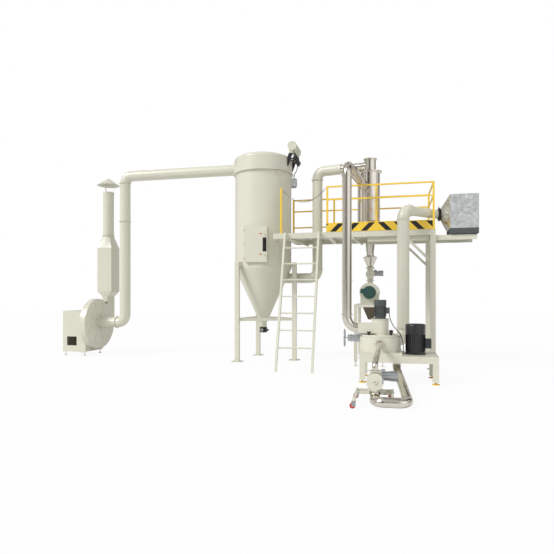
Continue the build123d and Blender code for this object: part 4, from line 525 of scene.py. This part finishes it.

# %% [markdown]
# A product picture has a page-white ground. A bright lamp would burn the paint as well, so
# the floor and the sky show white only to the camera, and light the plant at a plain
# level. The sky that metal mirrors has a warm dark band, like a workshop's walls.

# %% Floor
FLOOR_SIZE, FLOOR_CENTRE = 60.0, (-3.5, 1.0, -0.001)
FLOOR_TONE, PAGE_WHITE, PAGE_SHARE = (0.80, 0.80, 0.79, 1.0), (1.0, 1.0, 1.0, 1.0), 0.93
floor_mesh = bpy.data.meshes.new("floor")
half = FLOOR_SIZE / 2
floor_mesh.from_pydata([(-half, -half, 0), (half, -half, 0), (half, half, 0), (-half, half, 0)], [],
                       [(0, 1, 2, 3)])
floor = bpy.data.objects.new("floor", floor_mesh)
floor.location = FLOOR_CENTRE
bpy.context.scene.collection.objects.link(floor)
ground = bpy.data.materials.new("page_white")
ground.use_nodes = True
tree = ground.node_tree
tree.nodes.remove(tree.nodes["Principled BSDF"])
ray = tree.nodes.new("ShaderNodeLightPath")
matt = node(tree, "ShaderNodeBsdfDiffuse", Color=FLOOR_TONE)
glow = node(tree, "ShaderNodeEmission", Color=PAGE_WHITE, Strength=1.0)
show = node(tree, "ShaderNodeMixShader")
feed(tree, sum_of(tree, "MULTIPLY", ray.outputs["Is Camera Ray"], PAGE_SHARE), show.inputs[0])
feed(tree, matt.outputs[0], show.inputs[1])
feed(tree, glow.outputs[0], show.inputs[2])
feed(tree, show.outputs[0], tree.nodes["Material Output"].inputs["Surface"])
floor_mesh.materials.append(ground)
print("floor", FLOOR_SIZE, "m wide")

# %% A sky that shows white, lights plainly and mirrors in bands
SKY_LIGHT, SKY_STRENGTH, BAND_SCALE = (0.94, 0.95, 0.96, 1.0), 0.62, 2.2
BANDS = ((0.42, (0.085, 0.070, 0.050, 1.0)), (0.54, (1.0, 0.99, 0.97, 1.0)))
world = bpy.data.worlds.new("workshop")
world.use_nodes = True
bpy.context.scene.world = world
tree = world.node_tree
ray = tree.nodes.new("ShaderNodeLightPath")
look = tree.nodes.new("ShaderNodeTexCoord").outputs["Generated"]
bands = node(tree, "ShaderNodeTexNoise", Vector=look, Scale=BAND_SCALE, Detail=1.0)
ramp = tree.nodes.new("ShaderNodeValToRGB")
for stop, (place, colour) in zip(ramp.color_ramp.elements, BANDS):
    stop.position, stop.color = place, colour
feed(tree, bands.outputs["Fac"], ramp.inputs["Fac"])
mirrored = mixed(tree, ray.outputs["Is Glossy Ray"], SKY_LIGHT, ramp.outputs["Color"], "RGBA")
seen = mixed(tree, ray.outputs["Is Camera Ray"], mirrored, PAGE_WHITE, "RGBA")
strength = mixed(tree, ray.outputs["Is Camera Ray"], SKY_STRENGTH, 1.0)
backdrop = tree.nodes["Background"]
feed(tree, seen, backdrop.inputs["Color"])
feed(tree, strength, backdrop.inputs["Strength"])
print("sky", world.name)

# %% [markdown]
# The main light falls from the front left, and a weak one from the front right opens its
# shadows. Both are suns rather than lamps near by, since a lamp that stood close would light
# the mill and leave the fan, nine metres away, in the dark.

# %% Lamps
def soft_sun(name, strength, spread, tip, turn):
    """A far lamp of that strength, whose shadows blur over the spread in degrees."""
    data = bpy.data.lights.new(name, "SUN")
    data.energy = strength
    data.angle = radians(spread)
    lamp = bpy.data.objects.new(name, data)
    lamp.rotation_euler = (radians(tip), 0.0, radians(turn))
    bpy.context.scene.collection.objects.link(lamp)


soft_sun("key", strength=2.1, spread=20.0, tip=52.0, turn=-48.0)
soft_sun("fill", strength=0.35, spread=60.0, tip=62.0, turn=50.0)
bpy.context.scene.view_settings.view_transform = "Standard"
print("lit")
